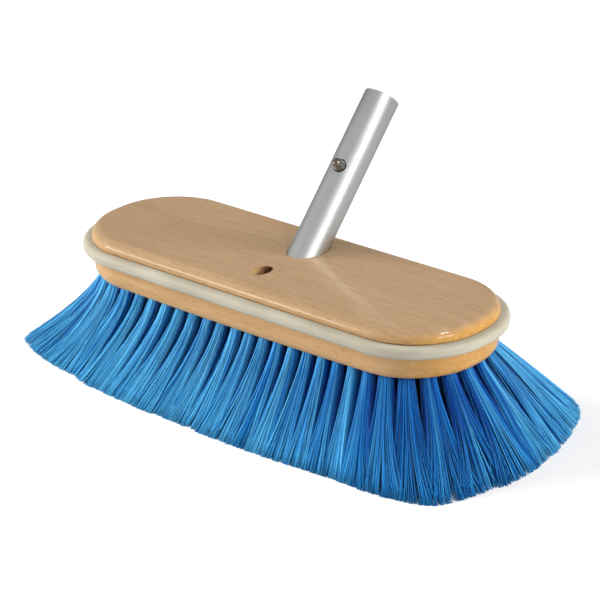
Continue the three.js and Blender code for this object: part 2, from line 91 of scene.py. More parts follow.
def camera_axes():
    """Right, up and forward of the camera: forward looks back along turn and rise, right is
    level, and both right and up are then rolled about forward."""
    away = np.array([
        math.sin(CAMERA_TURN) * math.cos(CAMERA_RISE),
        -math.cos(CAMERA_TURN) * math.cos(CAMERA_RISE),
        math.sin(CAMERA_RISE),
    ])
    forward = -away
    level = unit(np.cross(forward, (0, 0, 1)))
    upright = np.cross(level, forward)
    right = math.cos(CAMERA_ROLL) * level + math.sin(CAMERA_ROLL) * upright
    up = math.cos(CAMERA_ROLL) * upright - math.sin(CAMERA_ROLL) * level
    aim = unit(forward + AIM_RIGHT * right - AIM_DOWN * up)
    right = unit(right - np.dot(right, aim) * aim)
    return right, np.cross(right, aim), aim, away


cam_right, cam_up, cam_forward, cam_away = camera_axes()
camera_data = bpy.data.cameras.new("photo_camera")
camera_data.sensor_width = SENSOR_WIDTH
camera_data.lens = SENSOR_WIDTH * (FOCAL_PIXELS / PICTURE_PIXELS)
camera = bpy.data.objects.new("photo_camera", camera_data)
bpy.context.scene.collection.objects.link(camera)
turn = np.eye(4)
turn[:3, 0], turn[:3, 1], turn[:3, 2] = cam_right, cam_up, -cam_forward
turn[:3, 3] = CAMERA_PAST + cam_away * CAMERA_DISTANCE
camera.matrix_world = Matrix(turn.tolist())
bpy.context.scene.camera = camera
print("camera at", np.round(turn[:3, 3], 4), "lens", round(camera_data.lens, 1))

# %% [markdown]
# ## From arrays to a mesh
#
# All shapes here are arrays of points: a closed ring is carried through several stations, or a
# profile is turned. One helper turns such a grid into faces, one closes its ends, and one makes
# the mesh. It divides by 1000 on the way, so sizes in this file can stay in millimetres.

# %% Mesh helpers
MM = 0.001
CREASE = 30.0             # degrees; sharper edges stay crisp


def ring_faces(stations, count):
    """Four-sided faces of a tube of rings: station k, point i joins its right neighbour and
    the same two points one station on. The last point of a ring joins the first."""
    k, i = np.meshgrid(np.arange(stations - 1), np.arange(count), indexing="ij")
    j = (i + 1) % count
    quads = np.stack([k * count + i, k * count + j, (k + 1) * count + j, (k + 1) * count + i], -1)
    return quads.reshape(-1, 4)


def capped(stations, count):
    """The same faces as lists, with one more at each end, so that the tube is closed."""
    last = (stations - 1) * count
    ends = [list(range(count))[::-1], [last + i for i in range(count)]]
    return ring_faces(stations, count).tolist() + ends


def linked(name, data):
    """A new object of this name and data, in the scene, at the origin."""
    made = bpy.data.objects.new(name, data)
    bpy.context.scene.collection.objects.link(made)
    return made


def shade(mesh, crease=CREASE):
    """Smooth all over but for edges sharper than crease."""
    mesh.shade_smooth()
    mesh.set_sharp_from_angle(angle=math.radians(crease))


def make_piece(name, points, faces, crease=CREASE):
    """Mesh object at the origin from points in millimetres and lists of face corners."""
    mesh = bpy.data.meshes.new(name)
    faces = faces.tolist() if isinstance(faces, np.ndarray) else faces
    mesh.from_pydata((np.asarray(points, float) * MM).tolist(), [], faces)
    mesh.validate()
    shade(mesh, crease)
    return linked(name, mesh)


def cut(piece, cutters):
    """Cuts closed shapes out of a piece, keeps the result as its mesh and removes the shapes."""
    for shape in cutters:
        modifier = piece.modifiers.new("cut", "BOOLEAN")
        modifier.operation = "DIFFERENCE"
        modifier.solver = "EXACT"
        modifier.object = shape
    bpy.context.view_layer.update()
    done = bpy.data.meshes.new_from_object(
        piece.evaluated_get(bpy.context.evaluated_depsgraph_get())
    )
    piece.modifiers.clear()
    piece.data = done
    for shape in cutters:
        bpy.data.objects.remove(shape)
    shade(done)


# %% [markdown]
# ## The block's outline
#
# The block is a long oval: a rectangle whose corners are nearly half circles. Every ring of the
# block and of the bumper is this outline, moved in or out. Walking it by its length gives even
# points, and starting at the right end on the X axis makes each ring its own mirror image, so
# the front and the back can be joined across.

# %% Outline of the block
block_low, block_high = [np.array(corner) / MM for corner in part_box("block")]
BLOCK_HALF_LENGTH = block_high[0]
BLOCK_HALF_WIDTH = block_high[1]
BLOCK_TOP = block_high[2]
END_FLAT = 2.45          # half the straight stretch at each end
OUTLINE_POINTS = 400


def outline(inset):
    """Points of the outline moved inwards by inset. It has four quarter circles of radius r
    round centres that stay put, joined by straight sides; each point is found from its share
    of the whole length, which starts and ends where the outline crosses +X."""
    r = BLOCK_HALF_WIDTH - END_FLAT - inset
    flat_x = BLOCK_HALF_LENGTH - BLOCK_HALF_WIDTH + END_FLAT
    base = BLOCK_HALF_WIDTH - END_FLAT
    bend = base * math.pi / 2
    lengths = np.array([END_FLAT, bend, 2 * flat_x, bend, 2 * END_FLAT, bend, 2 * flat_x, bend,
                        END_FLAT])
    ends = np.concatenate([[0], np.cumsum(lengths)])
    way = np.arange(OUTLINE_POINTS) * ends[-1] / OUTLINE_POINTS
    side = np.clip(np.searchsorted(ends, way, side="right") - 1, 0, 8)
    part = (way - ends[side]) / lengths[side]
    centre_x = np.array([1, 1, 1, -1, -1, -1, -1, 1, 1])[side] * flat_x
    centre_y = np.array([0, 1, 1, 1, 1, -1, -1, -1, -1])[side] * END_FLAT
    angle = np.array([0, 0, 1, 1, 2, 2, 3, 3, 4])[side] * math.pi / 2
    curved = np.isin(side, [1, 3, 5, 7])
    angle = angle + np.where(curved, part * math.pi / 2, 0)
    x = centre_x + r * np.cos(angle)
    y = centre_y + r * np.sin(angle)
    x = np.where(side == 2, flat_x * (1 - 2 * part), x)
    x = np.where(side == 6, flat_x * (2 * part - 1), x)
    y = np.where(side == 0, END_FLAT * part, y)
    y = np.where(side == 4, END_FLAT * (1 - 2 * part), y)
    y = np.where(side == 8, END_FLAT * (part - 1), y)
    return np.stack([x, y], -1)


print("outline reaches", outline(0).max(0).round(2))

# %% [markdown]
# ## The wooden block
#
# The real block is one piece of beech. A spindle moulder rounded its upper edge, cut the groove
# that holds the bumper, and left the lower band slightly drawn in towards the bristles. Its
# underside is straight but for a slight lift at both ends. So the shape is one profile of
# inset and height, carried round the outline. A subdivided box could do it too, but the
# profile keeps each step of the moulding where it was measured. The slanted pocket of the tube
# and the screw's counterbore are cut afterwards, as they are in the workshop.

# %% Wooden block
SLAB_HEIGHT, SLAB_ROUND, ROUND_STEPS = 6.4, 5.7, 15
SLAB_EDGE = BLOCK_TOP - SLAB_HEIGHT   # lower edge of the rounded slab
UNDERSIDE, FOOT_INSET = block_low[2], 2.3
CORE_INSET, CORE_LOW = 0.6, 57.9
GROOVE_LOW, GROOVE_HIGH, GROOVE_INSET = 59.6, 62.6, 4.6
EDGE_BREAK = 0.35                     # sanded edges
ARCH_RISE, ARCH_TOP = 2.0, 49.5       # how far the ends lift, and where the lift has faded
# Inset and height of the band, where it draws in towards the bristles.
BAND = [(1.75, 46.0), (1.3, 47.5), (1.05, 49.5), (0.9, 51.2), (0.8, 53.0), (0.68, 55.5)]


def block_profile():
    """Pairs of inset and height from the underside up to the flat top: a drawn-in foot, an
    almost upright band, the bumper's groove, a small step out, and a quarter circle."""
    steps = [(FOOT_INSET + EDGE_BREAK, UNDERSIDE), (FOOT_INSET, UNDERSIDE + EDGE_BREAK), *BAND,
             (CORE_INSET, CORE_LOW), (CORE_INSET, GROOVE_LOW), (GROOVE_INSET, GROOVE_LOW),
             (GROOVE_INSET, GROOVE_HIGH), (CORE_INSET, GROOVE_HIGH), (CORE_INSET, SLAB_EDGE),
             (EDGE_BREAK, SLAB_EDGE), (0.0, SLAB_EDGE + EDGE_BREAK)]
    swing = np.linspace(0, math.pi / 2, ROUND_STEPS)
    steps += [(SLAB_ROUND * (1 - math.cos(a)), BLOCK_TOP - SLAB_ROUND * (1 - math.sin(a)))
              for a in swing]
    return steps


def wooden_block():
    """The profile's rings, of which the lowest are lifted by the arch, ARCH_RISE times the
    square of x over half the length, fading upwards. Faces right across, between mirrored
    points, close the top and the underside."""
    rings = []
    for inset, height in block_profile():
        ring = outline(inset)
        lift = ARCH_RISE * (ring[:, 0] / BLOCK_HALF_LENGTH) ** 2
        fade = np.clip((ARCH_TOP - height) / (ARCH_TOP - UNDERSIDE - EDGE_BREAK), 0, 1)
        rings.append(np.column_stack([ring, height + lift * fade]))
    stations, n = len(rings), OUTLINE_POINTS
    faces = ring_faces(stations, n).tolist()
    top = (stations - 1) * n
    for i in range(n // 2):
        a, b, c, d = i, i + 1, n - i - 1, (n - i) % n
        low = [a, d, c, b] if a != d and b != c else ([a, c, b] if a == d else [a, d, b])
        faces.append(low)
        faces.append([top + v for v in reversed(low)])
    return make_piece("wooden_block", np.concatenate(rings), faces)


block = wooden_block()
print("block:", len(block.data.vertices), "points")

# %% [markdown]
# ## The tube's frame
#
# The tube leans towards +Y. Its own frame has one axis up the tube, one towards the front,
# and the block's X reversed. Everything on the tube is worked out there and then placed: the
# pocket, the tube itself, the button and the clip.

# %% Frame of the tube
TILT = math.radians(42.2)
TUBE_Y = 15.8             # where its axis meets the block's top
TUBE_R, TUBE_WALL, TUBE_OUT = 9.525, 1.25, 89.8
POCKET_R, POCKET_FLOOR = 9.8, 51.2
BUTTON_TURN = math.radians(10.0)
SCREW_WAY = 17.0          # from the block's top to the tube's side

tube_axes = np.array([[-1, 0, 0],
                      [0, -math.cos(TILT), math.sin(TILT)],
                      [0, math.sin(TILT), math.cos(TILT)]])
tube_foot = np.array([0, TUBE_Y, BLOCK_TOP])
clip_axes = np.array([
    math.cos(BUTTON_TURN) * tube_axes[0] + math.sin(BUTTON_TURN) * tube_axes[1],
    math.cos(BUTTON_TURN) * tube_axes[1] - math.sin(BUTTON_TURN) * tube_axes[0],
    tube_axes[2],
])
screw_axes = np.array([[-1, 0, 0],
                       [0, math.sin(TILT), math.cos(TILT)],
                       [0, math.cos(TILT), -math.sin(TILT)]])
screw_foot = np.array([0, TUBE_Y - (SCREW_WAY + TUBE_R) / math.cos(TILT), BLOCK_TOP])


def placed(points, axes, foot):
    """Points given along three axes, from a foot point."""
    return np.asarray(points) @ axes + foot


def turned(profile, sides, about=2):
    """Rings of a profile of radius and height, turned about the third axis, or about the
    second one for what stands square to the tube. Points are radius times cosine and sine."""
    angle = np.arange(sides) * 2 * math.pi / sides
    rings = []
    for radius, height in profile:
        c, s = radius * np.cos(angle), radius * np.sin(angle)
        h = np.full(sides, float(height))
        rings.append(np.stack([c, s, h] if about == 2 else [s, h, c], -1))
    return np.concatenate(rings)


def lathe_piece(name, profile, sides, axes, foot, about=2, crease=CREASE):
    """Closed turned piece whose profile runs upwards on its outside; both ends are capped."""
    points = placed(turned(profile, sides, about), axes, foot)
    return make_piece(name, points, capped(len(profile), sides), crease)


print("tube leans", round(math.degrees(TILT), 1), "degrees")
print("screw enters at y", screw_foot[1].round(2))

# %% [markdown]
# ## Pocket and screw hole
#
# The pocket is a slanted bore with a flat floor. Its cutter is the tube's cylinder, whose lowest
# ring is slid along the tube until it lies level at the floor. The counterbore is square to the
# tube, so it enters the top at a slant, which is why the hole looks like a long drop.

# %% Pocket and screw hole
HEAD_HOLE_R, HEAD_HOLE_DEPTH, PILOT_R = 4.4, 9.5, 2.4
OVERRUN = 20.0            # how far the screw's cutter stands out of the block
POCKET_HIGH, POCKET_SIDES = 30.0, 96


def level_tube(radius, low_z, high, sides):
    """Rings of a cylinder along the tube whose lower end is level at height low_z. Each point
    of that end slides along the tube by the drop over the cosine of the lean."""
    points = turned([(radius, 0.0), (radius, high)], sides)
    y = points[:sides, 1]
    points[:sides, 2] = (low_z - BLOCK_TOP - math.sin(TILT) * y) / math.cos(TILT)
    return points


pocket_rings = level_tube(POCKET_R, POCKET_FLOOR, POCKET_HIGH, POCKET_SIDES)
pocket_cutter = make_piece("pocket_cutter", placed(pocket_rings, tube_axes, tube_foot),
                           capped(2, POCKET_SIDES))
hole_profile = [(HEAD_HOLE_R, -OVERRUN), (HEAD_HOLE_R, HEAD_HOLE_DEPTH),
                (PILOT_R, HEAD_HOLE_DEPTH), (PILOT_R, SCREW_WAY + TUBE_R)]
screw_cutter = lathe_piece("screw_cutter", hole_profile, 64, screw_axes, screw_foot)
cut(block, [pocket_cutter, screw_cutter])
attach(block, "head")
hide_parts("block")
print("block with its holes:", len(block.data.polygons), "faces")

# %% [markdown]
# ## The bumper
#
# A soft ring of milky plastic keeps the wood off the pool wall. It is an extrusion, joined to a
# ring and pressed into the groove: flat at its back, with a tongue in the groove, and rounded in
# front. As with the block, a profile is carried round the outline. An extrusion that is bent
# round an oval never lies dead flat, so the ring gets a slow waviness of a tenth of a
# millimetre, which is what breaks up its reflections.

# %% Bumper
bumper_low, bumper_high = [np.array(corner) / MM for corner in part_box("bumper")]
BUMPER_OUT = bumper_high[0] - BLOCK_HALF_LENGTH
BUMPER_ROUND, BUMPER_FLAT, ROUND_POINTS = 2.4, 1.2, 9
BUMPER_CREASE = 40.0
BACK_IN = 0.3             # the flat back lies this far inside the outline
TONGUE_IN, TONGUE_HALF = 4.3, 1.2
WAVE = 0.1
WAVES = [(0.6, 5, 0.7), (0.4, 11, 2.1)]   # share, waves in a turn, start
SKIN, NOSE, ROOM = 0.02, 0.05, 0.12       # how the loop keeps off the solid's box


def bumper_profile():
    """Closed loop of reach beyond the outline and height: flat back with the tongue, flat
    underside, a rounded nose between two quarter circles, flat top. It runs outside upwards."""
    low, high = bumper_low[2] + SKIN, bumper_high[2] - SKIN
    mid = (low + high) / 2
    out = BUMPER_OUT - ROOM
    r = BUMPER_ROUND
    loop = [(-BACK_IN, low), (BUMPER_FLAT, low)]
    for a in np.linspace(-math.pi / 2, 0, ROUND_POINTS):
        loop.append((out - r + r * math.cos(a), low + r + r * math.sin(a)))
    loop.append((out + NOSE, mid))
    for a in np.linspace(0, math.pi / 2, ROUND_POINTS):
        loop.append((out - r + r * math.cos(a), high - r + r * math.sin(a)))
    loop += [(BUMPER_FLAT, high), (-BACK_IN, high), (-BACK_IN, mid + TONGUE_HALF),
             (-TONGUE_IN, mid + TONGUE_HALF), (-TONGUE_IN, mid - TONGUE_HALF),
             (-BACK_IN, mid - TONGUE_HALF)]
    return loop


def soft_bumper():
    """Rings of the profile, closed on themselves. The wave is a sum of two slow sines along
    the ring, and it only moves what stands outside the wood."""
    rings = []
    along = np.arange(OUTLINE_POINTS) / OUTLINE_POINTS * 2 * math.pi
    wave = WAVE * sum(share * np.sin(turns * along + start) for share, turns, start in WAVES)
    for reach, height in bumper_profile():
        sway = wave * np.clip(reach / BUMPER_OUT, 0, 1)
        rings.append(np.column_stack([outline(-reach), height + sway]))
    points = np.concatenate(rings)
    faces = ring_faces(len(rings) + 1, OUTLINE_POINTS) % len(points)
    return make_piece("soft_bumper", points, faces, BUMPER_CREASE)


bumper = soft_bumper()
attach(bumper, "head")
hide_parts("bumper")
print("bumper:", len(bumper.data.polygons), "faces, reach", round(BUMPER_OUT, 2))

# %% [markdown]
# ## The handle tube
#
# A piece of drawn aluminium tube, 19 mm across. Its outside and inside are two cylinders
# joined at a broken edge on top and level at the foot. A tube could be a curve with a bevel, but
# then its foot could not be cut level. The tube also gets a map of the way round and the way
# up, so the fine lines of the drawing die can follow the metal.

# %% Handle tube
BORE = TUBE_R - TUBE_WALL
TUBE_SIDES = 128
EDGE, EDGE_POINTS = 0.35, 4
FOOT_GAP = 0.3            # between the tube's foot and the pocket's floor
BUTTON_UP, BUTTON_R, BUTTON_PLAY = 45.1, 3.2, 0.5
WALL_FROM, WALL_TO = 4.0, 14.0   # from the axis; the hole's cutter passes one wall
SCREW_FROM = 10.0         # from the block's top; its cutter starts outside the tube


def tube_rings():
    """Loop of rings: outside from the foot up, over the rounded rim, inside down to the foot.
    The foot rings slide to the level cut; the rim is a half circle of small steps."""
    foot_z = POCKET_FLOOR + FOOT_GAP
    outside = level_tube(TUBE_R, foot_z, TUBE_OUT - EDGE, TUBE_SIDES)
    inside = level_tube(BORE, foot_z, TUBE_OUT - EDGE, TUBE_SIDES)
    levels = [outside[:TUBE_SIDES]]
    for share in (0.25, 0.5, 0.75):
        levels.append(outside[:TUBE_SIDES] * (1 - share) + outside[TUBE_SIDES:] * share)
    levels.append(outside[TUBE_SIDES:])
    swing = np.linspace(0, math.pi / 2, EDGE_POINTS)
    rim = [(TUBE_R, -EDGE, a) for a in swing[1:]] + [(BORE, EDGE, a) for a in swing[::-1]]
    for radius, into, a in rim:
        step = (radius + into * (1 - math.cos(a)), TUBE_OUT - EDGE * (1 - math.sin(a)))
        levels.append(turned([step], TUBE_SIDES))
    levels.append(inside[:TUBE_SIDES])
    return np.array(levels)


def handle_tube():
    """Mesh of the rings with its map: the first number goes once round, the second is the
    height along the tube over its whole length."""
    levels = tube_rings()
    points = placed(levels.reshape(-1, 3), tube_axes, tube_foot)
    faces = ring_faces(len(levels) + 1, TUBE_SIDES) % len(points)
    tube = make_piece("aluminium_tube", points, faces)
    local_z = levels[:, :, 2]
    map_layer = tube.data.uv_layers.new(name="tube_map")
    corner = np.empty(len(tube.data.loops), np.int32)
    tube.data.loops.foreach_get("vertex_index", corner)
    first = corner.reshape(-1, 4)
    around = (corner % TUBE_SIDES).reshape(-1, 4) / TUBE_SIDES
    wrap = around.max(1) - around.min(1) > 0.5
    around = np.where(wrap[:, None] & (around < 0.5), around + 1.0, around)
    upward = local_z.reshape(-1)[first] / TUBE_OUT
    map_layer.data.foreach_set("uv", np.stack([around, upward], -1).astype(np.float32).ravel())
    return tube


tube = handle_tube()
button_foot = tube_foot + clip_axes[2] * BUTTON_UP
hole_r = BUTTON_R + BUTTON_PLAY
button_hole = lathe_piece("button_hole", [(hole_r, WALL_FROM), (hole_r, WALL_TO)], 64,
                          clip_axes, button_foot, about=1)
screw_hole = lathe_piece("screw_hole", [(PILOT_R, SCREW_FROM), (PILOT_R, SCREW_WAY + TUBE_R)],
                         48, screw_axes, screw_foot)
cut(tube, [button_hole, screw_hole])
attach(tube, "head")
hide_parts("handle_tube")
print("tube:", len(tube.data.polygons), "faces")

# %% [markdown]
# ## The snap button and its clip
#
# The button is a small steel plug, straight where it slides through the tube and tapered to a
# dome outside, so that a pole's sleeve can push it in. It is a turned profile. The clip behind
# it is one strip of spring steel, folded like a hairpin: one leg rests on the far wall, the
# other carries the button. It can be seen through the mouth of the tube, so it is made as one
# strip that is blended over the joint, not two.

# %% Snap button
BUTTON_OUT, BUTTON_FLANK, DOME_R, DOME_POINTS = 5.8, 0.7, 2.6, 14
BUTTON_BREAK, BUTTON_CREASE = 0.2, 35.0
SHOULDER_LOW, SHOULDER_IN, SHOULDER_HIGH = 0.1, 0.04, 0.06   # where side and cone meet
DOME_OPEN = 0.05          # radians left flat at the dome's top
CLIP_ROOM, CLIP_SIDE = 0.375, 0.05     # the clip's clearances in the bore and past the button
LEG_FACE = math.sqrt((BORE - CLIP_ROOM) ** 2 - (BUTTON_R + CLIP_SIDE) ** 2)
BUTTON_BASE = LEG_FACE + 0.3           # just clear of the clip


def button_profile():
    """Radius and height from the tube's axis: a straight side, a cone that touches the dome,
    and the dome's arc. The cone meets the arc where the two have the same slope."""
    middle = TUBE_R + BUTTON_OUT - DOME_R
    flank = TUBE_R + BUTTON_FLANK
    span = math.hypot(BUTTON_R, flank - middle)
    start = math.atan2(flank - middle, BUTTON_R) + math.acos(DOME_R / span)
    profile = [(BUTTON_R - BUTTON_BREAK, BUTTON_BASE), (BUTTON_R, BUTTON_BASE + BUTTON_BREAK),
               (BUTTON_R, flank - SHOULDER_LOW), (BUTTON_R - SHOULDER_IN, flank + SHOULDER_HIGH)]
    for a in np.linspace(start, math.pi / 2 - DOME_OPEN, DOME_POINTS):
        profile.append((DOME_R * math.cos(a), middle + DOME_R * math.sin(a)))
    return profile


button = lathe_piece("steel_button", button_profile(), 64, clip_axes, button_foot, about=1,
                     crease=BUTTON_CREASE)
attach(button, "button")
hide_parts("snap_button")
print("button:", len(button.data.polygons), "faces")

# %% Spring clip
LEVER, FOLD_R, FOLD_POINTS, CLIP_T, FOLD_INSET = 34.0, 1.5, 13, 0.6, 2.9
LEG_END, LEG_BEND = 5.1, 5.9
CLIP_WIDTH = 2 * (BUTTON_R + CLIP_SIDE)


def spring_clip():
    """A strip along one path, from the end of the moving leg, round the fold and up the fixed
    leg. Each station is the path's point plus or minus half the thickness along the path's
    normal, and half the width sideways, so a station is a rectangle of four points."""
    leg = LEG_FACE - CLIP_T / 2
    fold = leg - FOLD_INSET - FOLD_R
    fold_up = BUTTON_UP - LEVER
    turn_up, top = BUTTON_UP - LEG_BEND, BUTTON_UP + LEG_END
    bend = np.linspace(0, math.pi, FOLD_POINTS)
    path = [(leg, top), (leg, BUTTON_UP), (leg, turn_up)]
    path += [(leg + (fold + FOLD_R - leg) * s, turn_up + (fold_up - turn_up) * s)
             for s in (0.25, 0.5, 0.75, 0.92)]
    path += [(fold + FOLD_R * math.cos(a), fold_up - FOLD_R * math.sin(a)) for a in bend]
    path += [(fold - FOLD_R + (-leg - fold + FOLD_R) * s, fold_up + (turn_up - fold_up) * s)
             for s in (0.25, 0.5, 0.75, 1.0)]
    path += [(-leg, top)]
    path = np.array(path)
    along = np.gradient(path, axis=0)
    along /= np.linalg.norm(along, axis=1)[:, None]
    normal = np.stack([-along[:, 1], along[:, 0]], -1) * CLIP_T / 2
    half = CLIP_WIDTH / 2
    corners = [(-half, 1), (-half, -1), (half, -1), (half, 1)]
    rings = np.stack([
        np.column_stack([np.full(len(path), x), path + side * normal]) for x, side in corners
    ], 1)
    points = placed(rings.reshape(-1, 3), clip_axes, tube_foot)
    faces = [face[::-1] for face in capped(len(path), len(corners))]
    return make_piece("spring_clip", points, faces), fold, fold_up


clip, clip_fold, clip_fold_up = spring_clip()
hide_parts("clip_fixed_leg", "clip_moving_leg")
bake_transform(clip)
print("clip:", len(clip.data.polygons), "faces")

# %% [markdown]
# ## The fixing screw
#
# At the bottom of the counterbore sits a pan-head screw with a cross slot. The solid model's
# screw already has that shape, and only its head shows, deep in the hole. But a head with
# softened edges catches light the way a pressed head does, so it is turned anew, and two
# crossed slots are cut in it.

# %% Fixing screw
HEAD_R, HEAD_H, SHANK_R = 3.9, 2.6, 2.0
HEAD_DOME, HEAD_BREAK, HEAD_OPEN, HEAD_POINTS = 0.9, 0.15, 0.12, 7
SEAT = HEAD_HOLE_DEPTH - 0.3         # the head's underside, just clear of the step
SCREW_END = SCREW_WAY + 6.7
THREAD_PITCH, THREAD_DEPTH = 1.4, 0.28
THREAD_AFTER, THREAD_BEFORE = 1.0, 3.0   # plain stretches at the head and at the point
POINT_LENGTH, POINT_R = 2.9, 0.25
SLOT_LONG, SLOT_THIN, SLOT_DEEP = 2.2, 0.5, 1.3


def screw_profile():
    """Radius and way down the hole: the domed head, the flat under it, then a shank whose
    radius rises and falls once per pitch, and a point."""
    top = SEAT - HEAD_H
    profile = [(HEAD_R * math.sin(a), top + HEAD_DOME - HEAD_DOME * math.cos(a))
               for a in np.linspace(HEAD_OPEN, math.pi / 2, HEAD_POINTS)]
    profile += [(HEAD_R, SEAT - HEAD_BREAK), (HEAD_R - HEAD_BREAK, SEAT),
                (SHANK_R - THREAD_DEPTH, SEAT)]
    way = np.arange(SEAT + THREAD_AFTER, SCREW_END - THREAD_BEFORE, THREAD_PITCH / 2)
    for k, w in enumerate(way):
        profile.append((SHANK_R - (THREAD_DEPTH if k % 2 == 0 else 0.0), w))
    profile += [(SHANK_R - THREAD_DEPTH, SCREW_END - POINT_LENGTH), (POINT_R, SCREW_END)]
    return profile


screw = lathe_piece("pan_head_screw", screw_profile(), 48, screw_axes, screw_foot)


def slot_cutter(name, half_along, half_across):
    """Box in the screw's frame, from above the head's top down to the slot's floor."""
    top = SEAT - HEAD_H
    corners = [(x, y, z) for z in (top - 1.0, top + SLOT_DEEP)
               for x, y in ((-half_along, -half_across), (half_along, -half_across),
                            (half_along, half_across), (-half_along, half_across))]
    return make_piece(name, placed(corners, screw_axes, screw_foot), capped(2, 4))


cut(screw, [slot_cutter("slot_a", SLOT_LONG, SLOT_THIN),
            slot_cutter("slot_b", SLOT_THIN, SLOT_LONG)])
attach(screw, "head")
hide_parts("fixing_screw")
print("screw:", len(screw.data.polygons), "faces")

# %% [markdown]
# ## Where the tufts stand
#
# The bristles stand in rows that follow the block's outline, and one row down the middle. A
# tuft's place is a half width (which row) and a way along that row. At the floor the same two
# numbers lead to a wider outline, so every filament is a line from one outline to the other,
# bent outwards like a skirt. Hair particles could be combed into such a shape, but then the
# solids and the picture would no longer share one rule.

# %% Outlines of the rows
OUTER_ROW = BLOCK_HALF_WIDTH - 8.15   # half width of the outer ring of holes
ROW_SHARES = [1.0, 0.6727, 0.3455]    # of that, for the three rings
OUTERMOST = OUTER_ROW + 2.8           # half width round the outside of those holes
TIP_SPREAD, SPREAD_POWER = 38.0, 1.5
TIP_SCALE, TIP_SCALE_END = 1.2, 0.135
ROOT_Z = 46.4                         # a little inside the wood
TUFT_PITCH = 10.0
EDGE_LOSS = BLOCK_HALF_LENGTH - BLOCK_HALF_WIDTH   # half length less half width, in every ring


def root_size(h):
    """Half length, half width and corner sizes of the row of half width h, at the wood."""
    return EDGE_LOSS + h, h, h - END_FLAT, h - END_FLAT


def tip_size(h):
    """The same at the floor: longer by a fifth and a little more outside, and wider by the
    spread times the row's share of the outermost half width to the power 1.5."""
    share = h / OUTERMOST
    a = (EDGE_LOSS + h) * (TIP_SCALE + TIP_SCALE_END * share ** 2)
    b = h + TIP_SPREAD * share ** SPREAD_POWER
    return a, b, a - TIP_SCALE * (EDGE_LOSS + END_FLAT), b - TIP_SCALE * END_FLAT


def on_outline(size, stretch, part):
    """Point on an outline of eight stretches, straight and quarter ellipse in turn."""
    a, b, rx, ry = size
    sign_x, sign_y = np.array([1, -1, -1, 1]), np.array([1, 1, -1, -1])

    def corner(i, angle):
        """Point of the quarter ellipse of corner i, at an angle."""
        i = i % 4
        return np.stack([sign_x[i] * (a - rx) + rx * np.cos(angle),
                         sign_y[i] * (b - ry) + ry * np.sin(angle)], -1)

    bend = (stretch - 1) // 2
    side = stretch // 2
    from_point = corner(side + 3, side * math.pi / 2)
    to_point = corner(side, side * math.pi / 2)
    straight = from_point + (to_point - from_point) * part[..., None]
    curved = corner(bend, (bend + part) * math.pi / 2)
    return np.where((stretch % 2 == 1)[..., None], curved, straight)


def along_row(half, way):
    """Stretch and share of it for a way along the row, and the row's whole length."""
    a, b, r, _ = root_size(half)
    lengths = np.array([2 * (b - r), r * math.pi / 2, 2 * (a - r), r * math.pi / 2] * 2)
    ends = np.concatenate([[0], np.cumsum(lengths)])
    way = np.mod(way, ends[-1])
    stretch = np.clip(np.searchsorted(ends, way, side="right") - 1, 0, 7)
    return stretch, (way - ends[stretch]) / lengths[stretch], ends[-1]


def skirt(half, h, way, drop, bend):
    """Point of the skirt: from the root outline towards the tip outline by drop to the power
    bend, where drop is 0 at the wood and 1 at the floor."""
    stretch, part, _ = along_row(half, way)
    root = on_outline(root_size(h), stretch, part)
    tip = on_outline(tip_size(h), stretch, part)
    return root + (tip - root) * (np.clip(drop, 0, 1) ** bend)[..., None]


def tufts_in(half):
    """Ways along the row at which its tufts stand, alike in the four quarters, and their pitch."""
    length = along_row(half, np.zeros(1))[2]
    count = 4 * round(length / (4 * TUFT_PITCH))
    pitch = length / count
    return END_FLAT + pitch / 2 + pitch * np.arange(count), pitch


for row_half in np.multiply(ROW_SHARES, OUTER_ROW):
    ways, pitch = tufts_in(row_half)
    print("row", row_half.round(1), "has", len(ways), "tufts,", round(pitch, 2), "mm apart")

# %% [markdown]
# ## Filaments
#
# A tuft is a bundle of stiff plastic filaments, folded in half and stapled into a drilled hole.
# It leaves the hole tight and opens towards its tips, where all are sheared level. Within a
# tuft the filaments cling to each other in strands, spaced evenly along the row, and that
# makes the streaks and, together with painted shade inside the tufts, the dark gaps. Each
# filament here is a three-sided rod of eight stations, a few dozen faces. One mesh holds many,
# and each point remembers how light its filament is, painted light and shade included, and
# how far down it lies, for the colour.

# %% Filament bundles
DROPS = np.array([-0.03, 0.08, 0.22, 0.38, 0.54, 0.70, 0.86, 1.0])
FALL = np.clip(DROPS, 0, 1)          # the stations' drops, held at the wood
FILAMENT_R = 0.29
THINNEST, THICKER = 0.85, 0.3        # least share of that radius, and what chance adds
ROOT_ACROSS, ROOT_ALONG, ROOT_ALONG_CORNER = 2.6, 3.0, 3.7
ROOT_SHIFT = 1.4                     # the outer holes lie close to the wood's edge
RAGGED = 0.5                         # how uneven the cut is in height
# Inside a tuft, whose filaments fill a square from -1 to 1 across and along the row.
EVEN_STEPS = (0.7548776662, 0.5698402910)   # irrational, so no two places meet
STRANDS, STRANDS_ACROSS, STRANDS_ALONG = 10, 0.9, 0.95
STEP_FROM, STEP_RANGE = 0.1, 0.8     # a strand's place in its own share of the tuft
STRAND_SHAPE = (0.35, 1.0)           # strands are long across the row
PULL, PULL_RANGE, PULL_SHAPE = 0.22, 0.50, (0.3, 1.0)
FLANK_EASE, LOOSE = 0.6, 0.06
# Lightness of a filament, and painted light and shade across a tuft: its outside lighter, its
# inside and flanks darker.
TONE, STRAND_TONE, PAINTED_TUFT_LIGHT_TONE, TUFT_TONE, FILAMENT_TONE = 0.17, 0.28, 0.36, 0.12, 0.34
PAINTED_TUFT_LIGHT_BASE, PAINTED_LIGHT_OUTSIDE, PAINTED_SHADE_FLANK = 0.45, 0.55, 0.45
# Millimetres that a tuft leans, a filament bows, and the few strays go astray.
LEAN, BOW, STRAY, MOST_STRAY = 0.35, 0.35, 1.6, 1.2
STRAY_SHARE = 0.02
